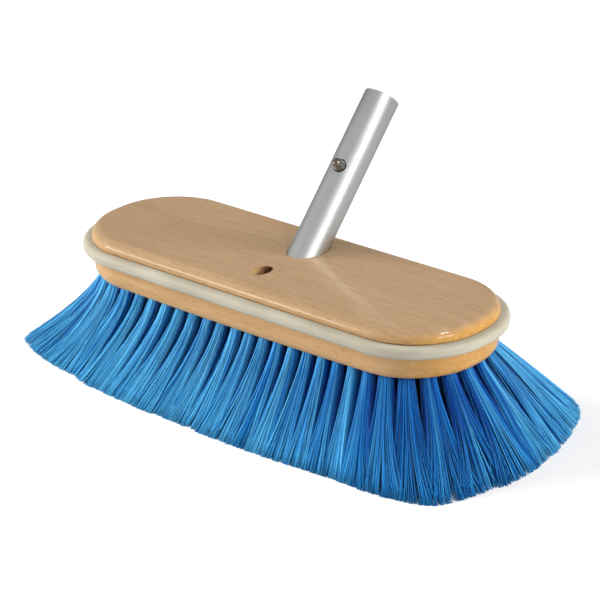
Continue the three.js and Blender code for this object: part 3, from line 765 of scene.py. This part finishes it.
# How far out the cut edge of the brush reaches, and how late the filaments bend outwards, by
# the share of the way round it. The skirt has been used, so it is a little wavy: fullest at
# the corners and drawn in beside the front left one. Its filaments run almost straight at the
# right end and bend late at the left.
REACH_SHARES = [0.0, 0.02, 0.034, 0.048, 0.067, 0.085, 0.13, 0.18, 0.28, 0.38, 0.46, 0.52,
                0.543, 0.554, 0.563, 0.575, 0.592, 0.606, 0.623, 0.654, 0.709, 0.765, 0.814,
                0.836, 0.858, 0.904, 0.922, 0.936, 0.945, 0.954, 0.966, 0.978, 1.0]
REACHES = [35.3, 34.7, 34.8, 35.8, 38.2, 38.6, 36.4, 34.6, 34.4, 34.8, 35.6, 36.6,
           38.0, 35.4, 33.7, 31.9, 31.2, 31.9, 33.4, 34.3, 34.8, 35.5, 35.5,
           35.2, 34.6, 34.1, 34.5, 35.6, 37.2, 38.2, 37.0, 35.8, 35.3]
BEND_SHARES = [0.0, 0.04, 0.10, 0.20, 0.30, 0.45, 0.543, 0.62, 0.72, 0.82, 0.90, 0.95, 1.0]
BENDS = [1.06, 0.94, 0.90, 1.15, 1.30, 1.45, 1.50, 1.50, 1.45, 1.35, 1.22, 1.12, 1.08]
# Painted light and shade on whole tufts, by the same share: painted lighter along the left of the
# front and at the back right corner, painted darker round the front right corner.
PAINTED_LIGHT_SHARES = [0.0, 0.02, 0.05, 0.08, 0.12, 0.50, 0.55, 0.60, 0.66, 0.72, 0.78, 0.84, 0.90,
               0.935, 0.96, 0.98, 1.0]
PAINTED_LIGHT_BY_SHARE = [-0.26, -0.10, 0.12, 0.12, 0.0, 0.0, 0.09, 0.15, 0.19, 0.10, -0.04, -0.07, -0.15,
         -0.25, -0.29, -0.34, -0.26]
# How unlike its neighbours one filament is, by the same share: the ends are streaky, the front
# is even.
STREAK_SHARES = [0.0, 0.06, 0.12, 0.40, 0.52, 0.74, 0.80, 0.88, 0.94, 0.97, 1.0]
STREAKS = [1.00, 1.00, 0.50, 0.50, 0.90, 0.80, 0.26, 0.10, 0.20, 0.60, 1.00]


def bundle(rng, tufts, filaments, cling=1.0, streaks=FILAMENT_TONE):
    """Places of the filaments of each tuft, in the square from -1 to 1, and their lightness.
    They are spread evenly by two irrational steps. At the root the square is pressed into a
    disc, u times the root of 1 - v2/2. At the tip it stays a square, so neighbours meet, and
    each filament is drawn a little towards the nearest strand. The strands are spaced evenly
    along the row, and their pull fades by the fourth power of v towards the tuft's flanks.
    Lightness is the sum of what strand, painted light and shade across the tuft, filament and tuft
    give."""
    count = np.arange(filaments)
    start = rng.random((tufts, 1, 2))
    place = 2 * np.mod(start + count[:, None] * EVEN_STEPS, 1.0) - 1
    u, v = place[..., 0], place[..., 1]
    root = np.stack([u * np.sqrt(1 - v * v / 2), v * np.sqrt(1 - u * u / 2)], -1)
    centres = rng.uniform(-STRANDS_ACROSS, STRANDS_ACROSS, (tufts, STRANDS, 2))
    step = np.arange(STRANDS) + STEP_FROM + STEP_RANGE * rng.random((tufts, STRANDS))
    centres[..., 1] = 2 * STRANDS_ALONG * step / STRANDS - STRANDS_ALONG
    gap = np.linalg.norm((place[:, :, None] - centres[:, None]) * STRAND_SHAPE, axis=-1)
    nearest = gap.argmin(-1)
    own = np.take_along_axis(centres, nearest[..., None], axis=1)
    pull = cling * (PULL + PULL_RANGE * rng.random((tufts, STRANDS)))
    pull = np.take_along_axis(pull, nearest, axis=1)[..., None] * PULL_SHAPE
    pull = pull * (1 - FLANK_EASE * v[..., None] ** 4)
    tip = place + (own - place) * pull + rng.normal(0, LOOSE, place.shape)
    strand_tone = np.take_along_axis(rng.random((tufts, STRANDS)), nearest, axis=1)
    # Painted light and shade: lighter on the tuft's outside, darker as painted shade on its inside
    # and flanks.
    painted_tuft_light = np.clip(PAINTED_TUFT_LIGHT_BASE + PAINTED_LIGHT_OUTSIDE * u - PAINTED_SHADE_FLANK * v ** 2, 0, 1)
    tone = STRAND_TONE * strand_tone + PAINTED_TUFT_LIGHT_TONE * painted_tuft_light
    tone += (streaks * (rng.random((tufts, filaments)) - 0.5)
             + TUFT_TONE * rng.random((tufts, 1)) + TONE)
    return root, tip, tone


def filament_mesh(name, paths, tones):
    """One mesh of three-sided rods. The rod's corners lie round each path point in a level
    plane, so the cut tips lie flat on the floor; roots and tips are closed."""
    count, stations = paths.shape[:2]
    rng = np.random.default_rng(len(name) * 101 + count)
    angle = rng.random((count, 1, 1)) * 2 * math.pi + np.arange(3) * 2 * math.pi / 3
    radius = FILAMENT_R * (THINNEST + THICKER * rng.random((count, 1, 1)))
    corners = np.repeat(paths[:, :, None, :], 3, axis=2)
    corners[..., 0] += radius * np.cos(angle)
    corners[..., 1] += radius * np.sin(angle)
    shift = (np.arange(count) * stations * 3)[:, None, None]
    sides = (ring_faces(stations, 3)[:, [0, 3, 2, 1]] + shift).reshape(-1)
    last = (stations - 1) * 3
    caps = (np.array([[0, 1, 2], [last + 2, last + 1, last]]) + shift).reshape(-1)
    starts = np.concatenate([np.arange(0, len(sides), 4),
                             len(sides) + np.arange(0, len(caps), 3)])
    mesh = bpy.data.meshes.new(name)
    mesh.vertices.add(count * stations * 3)
    mesh.vertices.foreach_set("co", (corners * MM).astype(np.float32).ravel())
    mesh.loops.add(len(sides) + len(caps))
    mesh.loops.foreach_set("vertex_index", np.concatenate([sides, caps]).astype(np.int32))
    mesh.polygons.add(len(starts))
    mesh.polygons.foreach_set("loop_start", starts.astype(np.int32))
    mesh.update(calc_edges=True)
    mesh.shade_smooth()
    for key, value in (("tone", tones[:, None, None]), ("drop", FALL[:, None])):
        values = np.broadcast_to(value, (count, stations, 3)).astype(np.float32)
        mesh.attributes.new(key, "FLOAT", "POINT").data.foreach_set("value", values.ravel())
    return linked(name, mesh)


def finish_paths(rng, xy, tufts, filaments):
    """Adds height, the lean of each tuft, the bow of each filament, a few strays and the ragged
    cut to level paths of shape tuft, filament, station. The lean grows with the drop to the
    power 1.5, a stray with its square, and the bow is a sine."""
    lean = rng.normal(0, LEAN, (tufts, 1, 1, 2)) * (FALL ** 1.5)[:, None]
    bow = rng.normal(0, BOW, (tufts, filaments, 1, 2)) * np.sin(FALL * math.pi)[:, None]
    stray = rng.random((tufts, filaments, 1, 1)) < STRAY_SHARE
    stray = stray * rng.normal(0, STRAY, (tufts, filaments, 1, 2))
    stray = np.clip(stray, -MOST_STRAY, MOST_STRAY)
    xy = xy + lean + bow + stray * (FALL ** 2)[:, None]
    uncut = RAGGED * rng.random((tufts, filaments, 1)) ** 2
    z = ROOT_Z * (1 - DROPS) + uncut * FALL
    return np.concatenate([xy, np.broadcast_to(z, xy.shape[:-1])[..., None]], -1)


BACK_RIGHT = 1           # this corner's stretch; its tufts stand like those of the straights
NEAR_CORNER = 0.7        # pitches from a corner that still count as the corner
OVERLAP, OVERLAP_CORNER, OVERLAP_RANGE = 1.2, 1.7, 0.2
CLING, CLING_CORNER = 1.0, 0.8
OPEN_ACROSS, OPEN_ALONG, CROWDING = 0.9, 1.8, 2.0


def row_of_tufts(half, filaments, inward, outward, seed):
    """Paths and lightness of all filaments of one row. At the floor a tuft spans inward to
    outward of the row's own half width, and a little more than its pitch; round the corners it
    opens further and clings less, so no gap is left. The outer row's outward is None: it ends
    at the reach of the cut edge, and more of its filaments lie near that edge. On the way down
    a filament moves across the row by the drop to the power OPEN_ACROSS, and along it by the
    drop to the power OPEN_ALONG."""
    rng = np.random.default_rng(seed)
    ways, pitch = tufts_in(half)
    tufts = len(ways)
    near = (-NEAR_CORNER, 0.0, NEAR_CORNER)
    stretch = np.stack([along_row(half, ways + s * pitch)[0] for s in near], -1)
    corner = ((stretch % 2 == 1) & (stretch > BACK_RIGHT)).any(-1, keepdims=True)
    length = along_row(half, np.zeros(1))[2]
    streaks = np.interp(ways / length, STREAK_SHARES, STREAKS)[:, None]
    cling = np.where(corner, CLING_CORNER, CLING)
    root, tip, tone = bundle(rng, tufts, filaments, cling, streaks)
    overlap = np.where(corner, OVERLAP_CORNER, OVERLAP) + OVERLAP_RANGE * rng.random((tufts, 1))
    way_root = ways[:, None] + root[..., 1] * np.where(corner, ROOT_ALONG_CORNER, ROOT_ALONG)
    way_tip = ways[:, None] + tip[..., 1] * overlap * pitch / 2
    h_root = half + ROOT_SHIFT + root[..., 0] * ROOT_ACROSS
    inside = np.clip((1 - tip[..., 0]) / 2, 0, 1)
    # Painted light and shade on whole tufts, by their place round the row.
    tone = tone + np.interp(ways / length, PAINTED_LIGHT_SHARES, PAINTED_LIGHT_BY_SHARE)[:, None]
    if outward is None:
        reach = np.interp(np.mod(way_tip / length, 1.0), REACH_SHARES, REACHES)
        h_tip = reach - (reach - half + inward) * inside ** CROWDING
    else:
        h_tip = half + outward - (outward + inward) * inside
    h = h_root[..., None] + (h_tip - h_root)[..., None] * FALL ** OPEN_ACROSS
    way = way_root[..., None] + (way_tip - way_root)[..., None] * FALL ** OPEN_ALONG
    bend = np.interp(np.mod(way / length, 1.0), BEND_SHARES, BENDS)
    xy = skirt(half, h, way, np.broadcast_to(DROPS, h.shape), bend)
    return finish_paths(rng, xy, tufts, filaments), tone


MIDDLE_SHORT = 15.25     # how far inside the inner ring's end the middle row ends
MIDDLE_ROOT, MIDDLE_TIP, MIDDLE_OPEN = 2.5, (6.0, 8.0), 1.1


def middle_row(filaments, seed):
    """Paths and lightness of the row down the middle, whose tufts only open, by the drop to the
    power MIDDLE_OPEN, and spread a little lengthwise."""
    rng = np.random.default_rng(seed)
    reach = EDGE_LOSS + OUTER_ROW * ROW_SHARES[2] - MIDDLE_SHORT
    pairs = round(reach / TUFT_PITCH)
    middles = np.arange(-pairs, pairs + 1) * reach / pairs
    root, tip, tone = bundle(rng, len(middles), filaments)
    holes = np.stack([middles, np.zeros(len(middles))], -1)[:, None]
    at_root = holes + root * MIDDLE_ROOT
    at_tip = holes * TIP_SCALE + tip * MIDDLE_TIP
    way = (at_tip - at_root)[:, :, None] * (FALL ** MIDDLE_OPEN)[:, None]
    return finish_paths(rng, at_root[:, :, None] + way, len(middles), filaments), tone


print("a filament has", 3 * (len(DROPS) - 1) * 2 + 2, "triangles")

# %% Bristle rows
# Painted shade: the inner rows' lightness is lowered, since they lie deep between outer tufts.
INNER_PAINTED_SHADE = 0.8        # the inner rows are darker, as they lie deep between outer tufts
QUARTERS = ("back_right", "back_left", "front_left", "front_right")


def lay(name, paths, tone, node):
    """One piece from some tufts' paths, which stands for one node of the solids."""
    piece = filament_mesh(name, paths.reshape(-1, len(DROPS), 3), tone.reshape(-1))
    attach(piece, "head")
    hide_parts(node)
    print(name, "has", paths.shape[0] * paths.shape[1], "filaments")
    return piece


# The outer row is laid in four pieces, so that each stays under 200,000 triangles.
outer_paths, outer_tone = row_of_tufts(OUTER_ROW, filaments=250, inward=4.0, outward=None,
                                       seed=11)
bristles = [lay("bristles_" + quarter, own_paths, own_tone, "bristles_outer")
            for quarter, own_paths, own_tone
            in zip(QUARTERS, np.split(outer_paths, 4), np.split(outer_tone, 4))]
second_paths, second_tone = row_of_tufts(OUTER_ROW * ROW_SHARES[1], filaments=90, inward=5.4,
                                         outward=6.8, seed=23)
bristles.append(lay("bristles_second_row", second_paths, second_tone * INNER_PAINTED_SHADE,
                    "bristles_second"))
inner_paths, inner_tone = row_of_tufts(OUTER_ROW * ROW_SHARES[2], filaments=74, inward=5.4,
                                       outward=5.4, seed=37)
middle_paths, middle_tone = middle_row(filaments=74, seed=41)
bristles.append(lay("bristles_inner_rows", np.concatenate([inner_paths, middle_paths]),
                    np.concatenate([inner_tone, middle_tone]) * INNER_PAINTED_SHADE, "bristles_inner"))

# %% [markdown]
# ## Finishes
#
# Every finish is worked out by nodes, with no pictures. The patterns sit in the object's own
# coordinates, so they hold still whatever the camera or the joint does. What is the same all
# over a piece is set on the shader itself; what varies comes from a few noises stretched the
# way the real surface was made: along the grain, along the drawn tube, or along a filament.

# %% Helpers for node materials
def tint(red, green, blue):
    """Linear colour from the 0 to 255 numbers that a picture shows."""
    share = np.array([red, green, blue]) / 255.0
    linear = np.where(share <= 0.04045, share / 12.92, ((share + 0.055) / 1.055) ** 2.4)
    return (*(float(v) for v in linear), 1.0)


def new_finish(name, **sockets):
    """A material with one Principled shader; sockets are its values that hold everywhere, with
    _ for a space. Returns the material, its tree and the shader."""
    finish = bpy.data.materials.new(name)
    finish.use_nodes = True
    tree = finish.node_tree
    shader = tree.nodes["Principled BSDF"]
    for key, value in sockets.items():
        shader.inputs[key.replace("_", " ")].default_value = value
    return finish, tree, shader


def add(tree, kind, inputs=None, **settings):
    """A node of the kind named. Inputs are numbers, colours or other nodes' outputs."""
    made = tree.nodes.new("ShaderNode" + kind)
    for key, value in settings.items():
        setattr(made, key, value)
    for key, value in (inputs or {}).items():
        if isinstance(value, bpy.types.NodeSocket):
            tree.links.new(value, made.inputs[key])
        else:
            made.inputs[key].default_value = value
    return made


def ramp(tree, share, stops):
    """Colour by share along the stops, each a place and a colour."""
    made = add(tree, "ValToRGB", {"Fac": share})
    places = made.color_ramp.elements
    while len(places) < len(stops):
        places.new(0.5)
    for place, (at, colour) in zip(places, stops):
        place.position, place.color = at, colour
    return made.outputs["Color"]


def spread(tree, value, low, high, to_low=0.0, to_high=1.0):
    """Value moved from the range low to high into another range, and held inside it."""
    made = add(tree, "MapRange", {"Value": value, "From Min": low, "From Max": high,
                                  "To Min": to_low, "To Max": to_high})
    return made.outputs["Result"]


def reckoned(tree, operation, first, second=0.0):
    """One step of arithmetic on one or two values."""
    return add(tree, "Math", {0: first, 1: second}, operation=operation).outputs[0]


def noise(tree, where, per_metre, detail=3.0, rough=0.5):
    """Noise with so many waves in a metre along X, Y and Z."""
    moved = add(tree, "Mapping", {"Vector": where, "Scale": per_metre})
    made = add(tree, "TexNoise", {"Vector": moved.outputs["Vector"], "Scale": 1.0,
                                  "Detail": detail, "Roughness": rough})
    return made.outputs["Fac"]


# A Mix node has sockets of the same name for numbers and colours, so these go by number.
MIX_SHARE, MIX_FIRST, MIX_SECOND, MIXED = 0, 6, 7, 2


def blended(tree, share, first, second):
    """Two colours mixed by share."""
    return add(tree, "Mix", {MIX_SHARE: share, MIX_FIRST: first, MIX_SECOND: second},
               data_type="RGBA").outputs[MIXED]


def stained(tree, colour, pattern, low, high, most, stain):
    """The colour with a stain over it: none where the pattern is low, most where it is high."""
    return blended(tree, spread(tree, pattern, low, high, 0.0, most), colour, stain)


def surface(tree, shader, colour, roughness):
    """Leads colour and roughness into the shader."""
    tree.links.new(colour, shader.inputs["Base Color"])
    tree.links.new(roughness, shader.inputs["Roughness"])


def relief(tree, shader, height, depth, onto=None):
    """Bumps the shader's normal by height times depth, in metres."""
    inputs = {"Height": height, "Distance": depth, "Strength": 1.0}
    if onto is not None:
        inputs["Normal"] = onto
    made = add(tree, "Bump", inputs)
    tree.links.new(made.outputs["Normal"], shader.inputs["Normal"])
    return made.outputs["Normal"]


def coordinates(tree):
    """The object's own coordinates, in metres."""
    return add(tree, "TexCoord").outputs["Object"]


def wear(piece, finish):
    """Gives the piece this one finish."""
    piece.data.materials.clear()
    piece.data.materials.append(finish)
    print(piece.name, "wears", finish.name)

# %% [markdown]
# ### Lacquered beech
#
# Beech is pale and even, with slow brown figure along the board and thousands of short dark
# flecks. A picture of wood could be wrapped round the block, but then its ends would show long
# grain. Rings about a far axis cut the block as a saw cuts a log: long lines on the top, arcs
# on the ends. The lacquer is a glossy coat that lies smooth over the pores. The sides are made
# warmer and lighter than the top, most in the band below the bumper, and the right end is the
# yellowest: a warmer colour together with painted light from the side lamps. The wall of the
# screw's hole is left out of it and stays as pale as the top.

# %% Beech
DOWN_THE_HOLE = 5.0      # millimetres, to about the middle of its wide part
hole_middle = placed([[0, 0, DOWN_THE_HOLE]], screw_axes, screw_foot)[0] * MM


def beech_finish():
    """Figure and fibres along the board, rings, patches, short dark flecks, and sides made warmer
    and lighter, partly as painted light.
    """
    finish, tree, shader = new_finish("lacquered_beech", Coat_Weight=0.8, Coat_Roughness=0.08,
                                      Coat_IOR=1.45, IOR=1.45)
    where = coordinates(tree)
    warp = noise(tree, where, (9, 30, 30), 2.0)
    off_axis = add(tree, "Mapping", {"Vector": where, "Location": (0.0, 0.013, 0.120),
                                     "Scale": (0.25, 1.0, 1.0)})
    rings = add(tree, "TexWave", {"Vector": off_axis.outputs["Vector"], "Scale": 62.0,
                                  "Distortion": 5.0, "Detail": 2.5, "Detail Scale": 0.35,
                                  "Detail Roughness": 0.55},
                wave_type="RINGS", rings_direction="X", wave_profile="SAW").outputs["Fac"]
    figure = noise(tree, where, (22, 380, 380), 4.0, 0.6)
    fibre = noise(tree, where, (120, 2600, 2600), 2.0, 0.6)
    fleck = noise(tree, where, (260, 2100, 1500), 1.0, 0.4)
    patch = noise(tree, where, (7, 22, 22), 2.0)
    colour = ramp(tree, figure, [(0.30, tint(158, 128, 93)), (0.52, tint(168, 138, 102)),
                                 (0.74, tint(177, 148, 112))])
    colour = stained(tree, colour, rings, 0.35, 1.0, 0.18, tint(145, 110, 77))
    colour = stained(tree, colour, patch, 0.35, 0.7, 0.35, tint(162, 132, 104))
    colour = stained(tree, colour, fleck, 0.60, 0.72, 0.42, tint(100, 70, 46))
    colour = stained(tree, colour, fibre, 0.2, 0.8, 0.22, tint(126, 96, 68))
    # Painted light with warmth: sideways faces, most below the bumper and at the ends, are made
    # lighter and more saturated than the top, the right end most; the screw's hole is kept out.
    facing = add(tree, "SeparateXYZ", {"Vector": add(tree, "NewGeometry").outputs["Normal"]})
    height = add(tree, "SeparateXYZ", {"Vector": where}).outputs["Z"]
    low_band = spread(tree, height, 0.068, 0.060, 0.45, 1.0)
    endways = reckoned(tree, "ABSOLUTE", facing.outputs["X"])
    ends = spread(tree, endways, 0.1, 0.7, 0.45, 1.0)
    upright = spread(tree, facing.outputs["Z"], 0.97, 0.35)
    side = reckoned(tree, "MULTIPLY", upright, reckoned(tree, "MAXIMUM", low_band, ends))
    off_hole = add(tree, "VectorMath", {0: where, 1: tuple(hole_middle)}, operation="DISTANCE")
    outside_hole = spread(tree, off_hole.outputs["Value"], 0.012, 0.018, 0.35, 1.0)
    side = reckoned(tree, "MULTIPLY", side, outside_hole)
    yellowed = spread(tree, facing.outputs["X"], 0.25, 0.8, 1.17, 1.33)
    warm_and_painted_light = add(tree, "HueSaturation", {"Saturation": yellowed, "Value": 1.36, "Color": colour})
    colour = blended(tree, side, colour, warm_and_painted_light.outputs["Color"])
    surface(tree, shader, colour, spread(tree, warp, 0.2, 0.8, 0.46, 0.60))
    pores = relief(tree, shader, spread(tree, fleck, 0.55, 0.75, 1.0, 0.0), 0.00006)
    relief(tree, shader, fibre, 0.00002, onto=pores)
    return finish


wear(block, beech_finish())

# %% [markdown]
# ### Milky rubber, satin aluminium and steel
#
# The bumper is a soft vinyl that lets a little light in, so it glows at its edge. The tube was
# drawn through a die and anodised: fine lines run along it, read from the tube's own map, so
# they follow it whatever way it leans. The anodised skin is rough, so what it mirrors is wide
# and soft, and it grows darker where it is seen edge on. The button is turned and tumbled; the
# clip and screw are plain spring steel and stainless, seen only down their holes.

# %% Bumper, tube and steel
def bumper_finish():
    """Cloudy vinyl, scuffed along its length and slightly gritty."""
    finish, tree, shader = new_finish("milky_vinyl", Subsurface_Weight=0.25,
                                      Subsurface_Scale=0.004, Subsurface_Radius=(1.0, 0.8, 0.6),
                                      IOR=1.48, Sheen_Weight=0.08)
    where = coordinates(tree)
    cloud = noise(tree, where, (28, 28, 60), 4.0, 0.6)
    scuff = noise(tree, where, (160, 160, 900), 3.0, 0.6)
    grit = noise(tree, where, (1500, 1500, 1500), 2.0)
    colour = ramp(tree, cloud, [(0.32, tint(158, 152, 134)), (0.55, tint(169, 163, 145)),
                                (0.75, tint(179, 174, 158))])
    colour = stained(tree, colour, scuff, 0.58, 0.78, 0.30, tint(164, 158, 141))
    surface(tree, shader, colour, spread(tree, cloud, 0.3, 0.7, 0.34, 0.5))
    bumps = relief(tree, shader, grit, 0.00003)
    relief(tree, shader, scuff, 0.00005, onto=bumps)
    return finish


def aluminium_finish():
    """Drawn lines along the tube and a faint bloom."""
    finish, tree, shader = new_finish("satin_aluminium", Metallic=1.0,
                                      Specular_Tint=(0.5, 0.5, 0.5, 1.0))
    where = add(tree, "UVMap", uv_map="tube_map").outputs["UV"]
    lines = noise(tree, where, (900, 5, 1), 3.0, 0.6)
    bloom = noise(tree, coordinates(tree), (60, 60, 60), 4.0, 0.6)
    colour = ramp(tree, lines, [(0.3, tint(220, 222, 221)), (0.7, tint(234, 236, 234))])
    colour = stained(tree, colour, bloom, 0.5, 0.8, 0.3, tint(204, 208, 202))
    surface(tree, shader, colour, spread(tree, lines, 0.25, 0.75, 0.42, 0.50))
    relief(tree, shader, lines, 0.00001)
    return finish


def steel_finish(name, dark, light, smooth, dull):
    """Bright steel between two greys and two roughnesses, with fine tumbling marks."""
    finish, tree, shader = new_finish(name, Metallic=1.0)
    where = coordinates(tree)
    marks = noise(tree, where, (900, 900, 900), 3.0, 0.6)
    haze = noise(tree, where, (140, 140, 140), 3.0, 0.5)
    surface(tree, shader, ramp(tree, haze, [(0.3, dark), (0.7, light)]),
            spread(tree, marks, 0.3, 0.7, smooth, dull))
    relief(tree, shader, marks, 0.000003)
    return finish


wear(bumper, bumper_finish())
wear(tube, aluminium_finish())
wear(button, steel_finish("tumbled_steel", tint(136, 130, 124), tint(166, 160, 152), 0.16, 0.24))
wear(clip, steel_finish("spring_steel", tint(150, 152, 154), tint(184, 186, 186), 0.24, 0.36))
wear(screw, steel_finish("stainless_steel", tint(170, 170, 168), tint(198, 198, 195), 0.2, 0.32))

# %% [markdown]
# ### Blue filaments
#
# The filaments are dyed right through and slightly clear, so a thin one looks pale where light
# passes it and a deep bundle looks navy. Real translucency in thousands of rods would take
# long, and the shadows between them already darken the bundle. So the colour runs from a deep
# blue to a paler one by strand and by filament. On top of that comes painted light and shade:
# the outside of a tuft is painted lighter and its inside and flanks darker, whole tufts are
# painted lighter or darker by their place round the row, and the inner rows are darker as
# painted shade. All grow paler towards the tips.

# %% Filament colour
def filament_finish():
    """Blue by each filament's lightness, which carries painted light and shade, paler towards the
    tips, slightly mottled.
    """
    finish, tree, shader = new_finish("blue_filament", IOR=1.5, Specular_IOR_Level=0.7,
                                      Specular_Tint=(0.2, 0.8, 1.0, 1.0), Sheen_Weight=0.25,
                                      Sheen_Roughness=0.4, Sheen_Tint=(0.35, 0.9, 1.0, 1.0))
    # The tone attribute holds each filament's lightness together with its painted light and shade.
    tone = add(tree, "Attribute", attribute_name="tone").outputs["Fac"]
    drop = add(tree, "Attribute", attribute_name="drop").outputs["Fac"]
    mottle = noise(tree, coordinates(tree), (300, 300, 60), 2.0)
    colour = ramp(tree, tone, [(0.0, tint(1, 34, 136)), (0.24, tint(1, 58, 150)),
                               (0.48, tint(5, 98, 178)), (0.76, tint(88, 174, 222))])
    colour = stained(tree, colour, drop, 0.4, 1.0, 0.25, tint(44, 162, 212))
    colour = stained(tree, colour, mottle, 0.35, 0.75, 0.20, tint(2, 80, 164))
    surface(tree, shader, colour, spread(tree, tone, 0.0, 1.0, 0.30, 0.48))
    return finish


filament_blue = filament_finish()
for piece in bristles:
    wear(piece, filament_blue)

# %% [markdown]
# ## Floor and light
#
# The brush stands on a plain pale floor. A photographer lights such a thing with big soft
# boxes: a strong one on the left, a small low one that reaches under the bumper into the
# bristles, a weak one overhead, a strip on the right that draws the bright line down the tube,
# a second strong one behind that, and a very small one for the glint on the slab's rounded
# edge. The room adds light from all round, more from the front and above. Shiny surfaces don't
# see the floor but the even grey of the room below it, which keeps the tube's edges calm.

# %% Floor
def floor_finish():
    """Almost even pale grey."""
    finish, tree, shader = new_finish("pale_floor", Roughness=0.85, Specular_IOR_Level=0.2)
    cloud = noise(tree, coordinates(tree), (3, 3, 3), 2.0)
    tree.links.new(ramp(tree, cloud, [(0.3, tint(236, 236, 236)), (0.7, tint(241, 241, 241))]),
                   shader.inputs["Base Color"])
    return finish


FLOOR_HALF = 6.0
floor_corners = [(-FLOOR_HALF, -FLOOR_HALF, 0), (FLOOR_HALF, -FLOOR_HALF, 0),
                 (FLOOR_HALF, FLOOR_HALF, 0), (-FLOOR_HALF, FLOOR_HALF, 0)]
floor_mesh = bpy.data.meshes.new("floor")
floor_mesh.from_pydata(floor_corners, [], [(0, 1, 2, 3)])
floor = linked("floor", floor_mesh)
wear(floor, floor_finish())
floor.visible_glossy = False

# %% Lights
FACED = (0, 0, 0.06)     # the block's middle, which every light faces


def soft_box(name, direction, distance, wide, high, power, mirrored=False):
    """A rectangular light that lies in the direction given and faces the block's middle. Only
    a mirrored one shows in shiny surfaces; the others light without glare."""
    lamp = bpy.data.lights.new(name, "AREA")
    lamp.shape = "RECTANGLE"
    lamp.size, lamp.size_y = wide, high
    lamp.energy = power
    holder = linked(name, lamp)
    away = unit(direction)
    right = unit(np.cross((0, 0, 1), away))
    axes = np.eye(4)
    axes[:3, 0], axes[:3, 1], axes[:3, 2] = right, np.cross(away, right), away
    axes[:3, 3] = away * distance + FACED
    holder.matrix_world = Matrix(axes.tolist())
    holder.visible_glossy = mirrored


soft_box("left", (-0.86, -0.36, 0.34), distance=3.4, wide=1.9, high=1.5, power=180.0)
soft_box("low_left", (-0.72, -0.66, 0.18), distance=1.7, wide=0.8, high=0.4, power=6.0,
         mirrored=True)
soft_box("overhead", (0.0, 0.4, 1.0), distance=2.0, wide=1.6, high=1.6, power=11.0)
soft_box("right_strip", (0.925, -0.12, 0.36), distance=3.0, wide=1.3, high=0.9, power=22.0,
         mirrored=True)
soft_box("right_back", (0.80, 0.50, 0.26), distance=3.4, wide=1.5, high=1.1, power=110.0)
soft_box("glint", (0.64, 0.03, 0.77), distance=1.8, wide=0.40, high=0.10, power=6.0,
         mirrored=True)

# %% The room
BRIGHTEST_WAY = (-0.25, -0.65, 0.72)
DIM, BRIGHT, UNDER_FLOOR = 0.21, 0.46, 0.56
HORIZON = 0.03           # half the height over which the grey below fades out

world = bpy.data.worlds.new("studio")
bpy.context.scene.world = world
world.use_nodes = True
room = world.node_tree
sky = room.nodes["Background"]
sky.inputs["Color"].default_value = (1.0, 1.0, 1.0, 1.0)
seen = add(room, "NewGeometry").outputs["Position"]
towards = add(room, "VectorMath", {0: seen, 1: BRIGHTEST_WAY}, operation="DOT_PRODUCT")
above = spread(room, towards.outputs["Value"], 0.0, 1.0, DIM, BRIGHT)
seen_height = add(room, "SeparateXYZ", {"Vector": seen}).outputs["Z"]
below = spread(room, seen_height, -HORIZON, HORIZON, UNDER_FLOOR, 0.0)
room.links.new(reckoned(room, "MAXIMUM", above, below), sky.inputs["Strength"])
bpy.context.scene.view_settings.view_transform = "Standard"
bpy.context.scene.view_settings.look = "None"
print("room from", DIM, "to", BRIGHT, "and", UNDER_FLOOR, "below the floor")
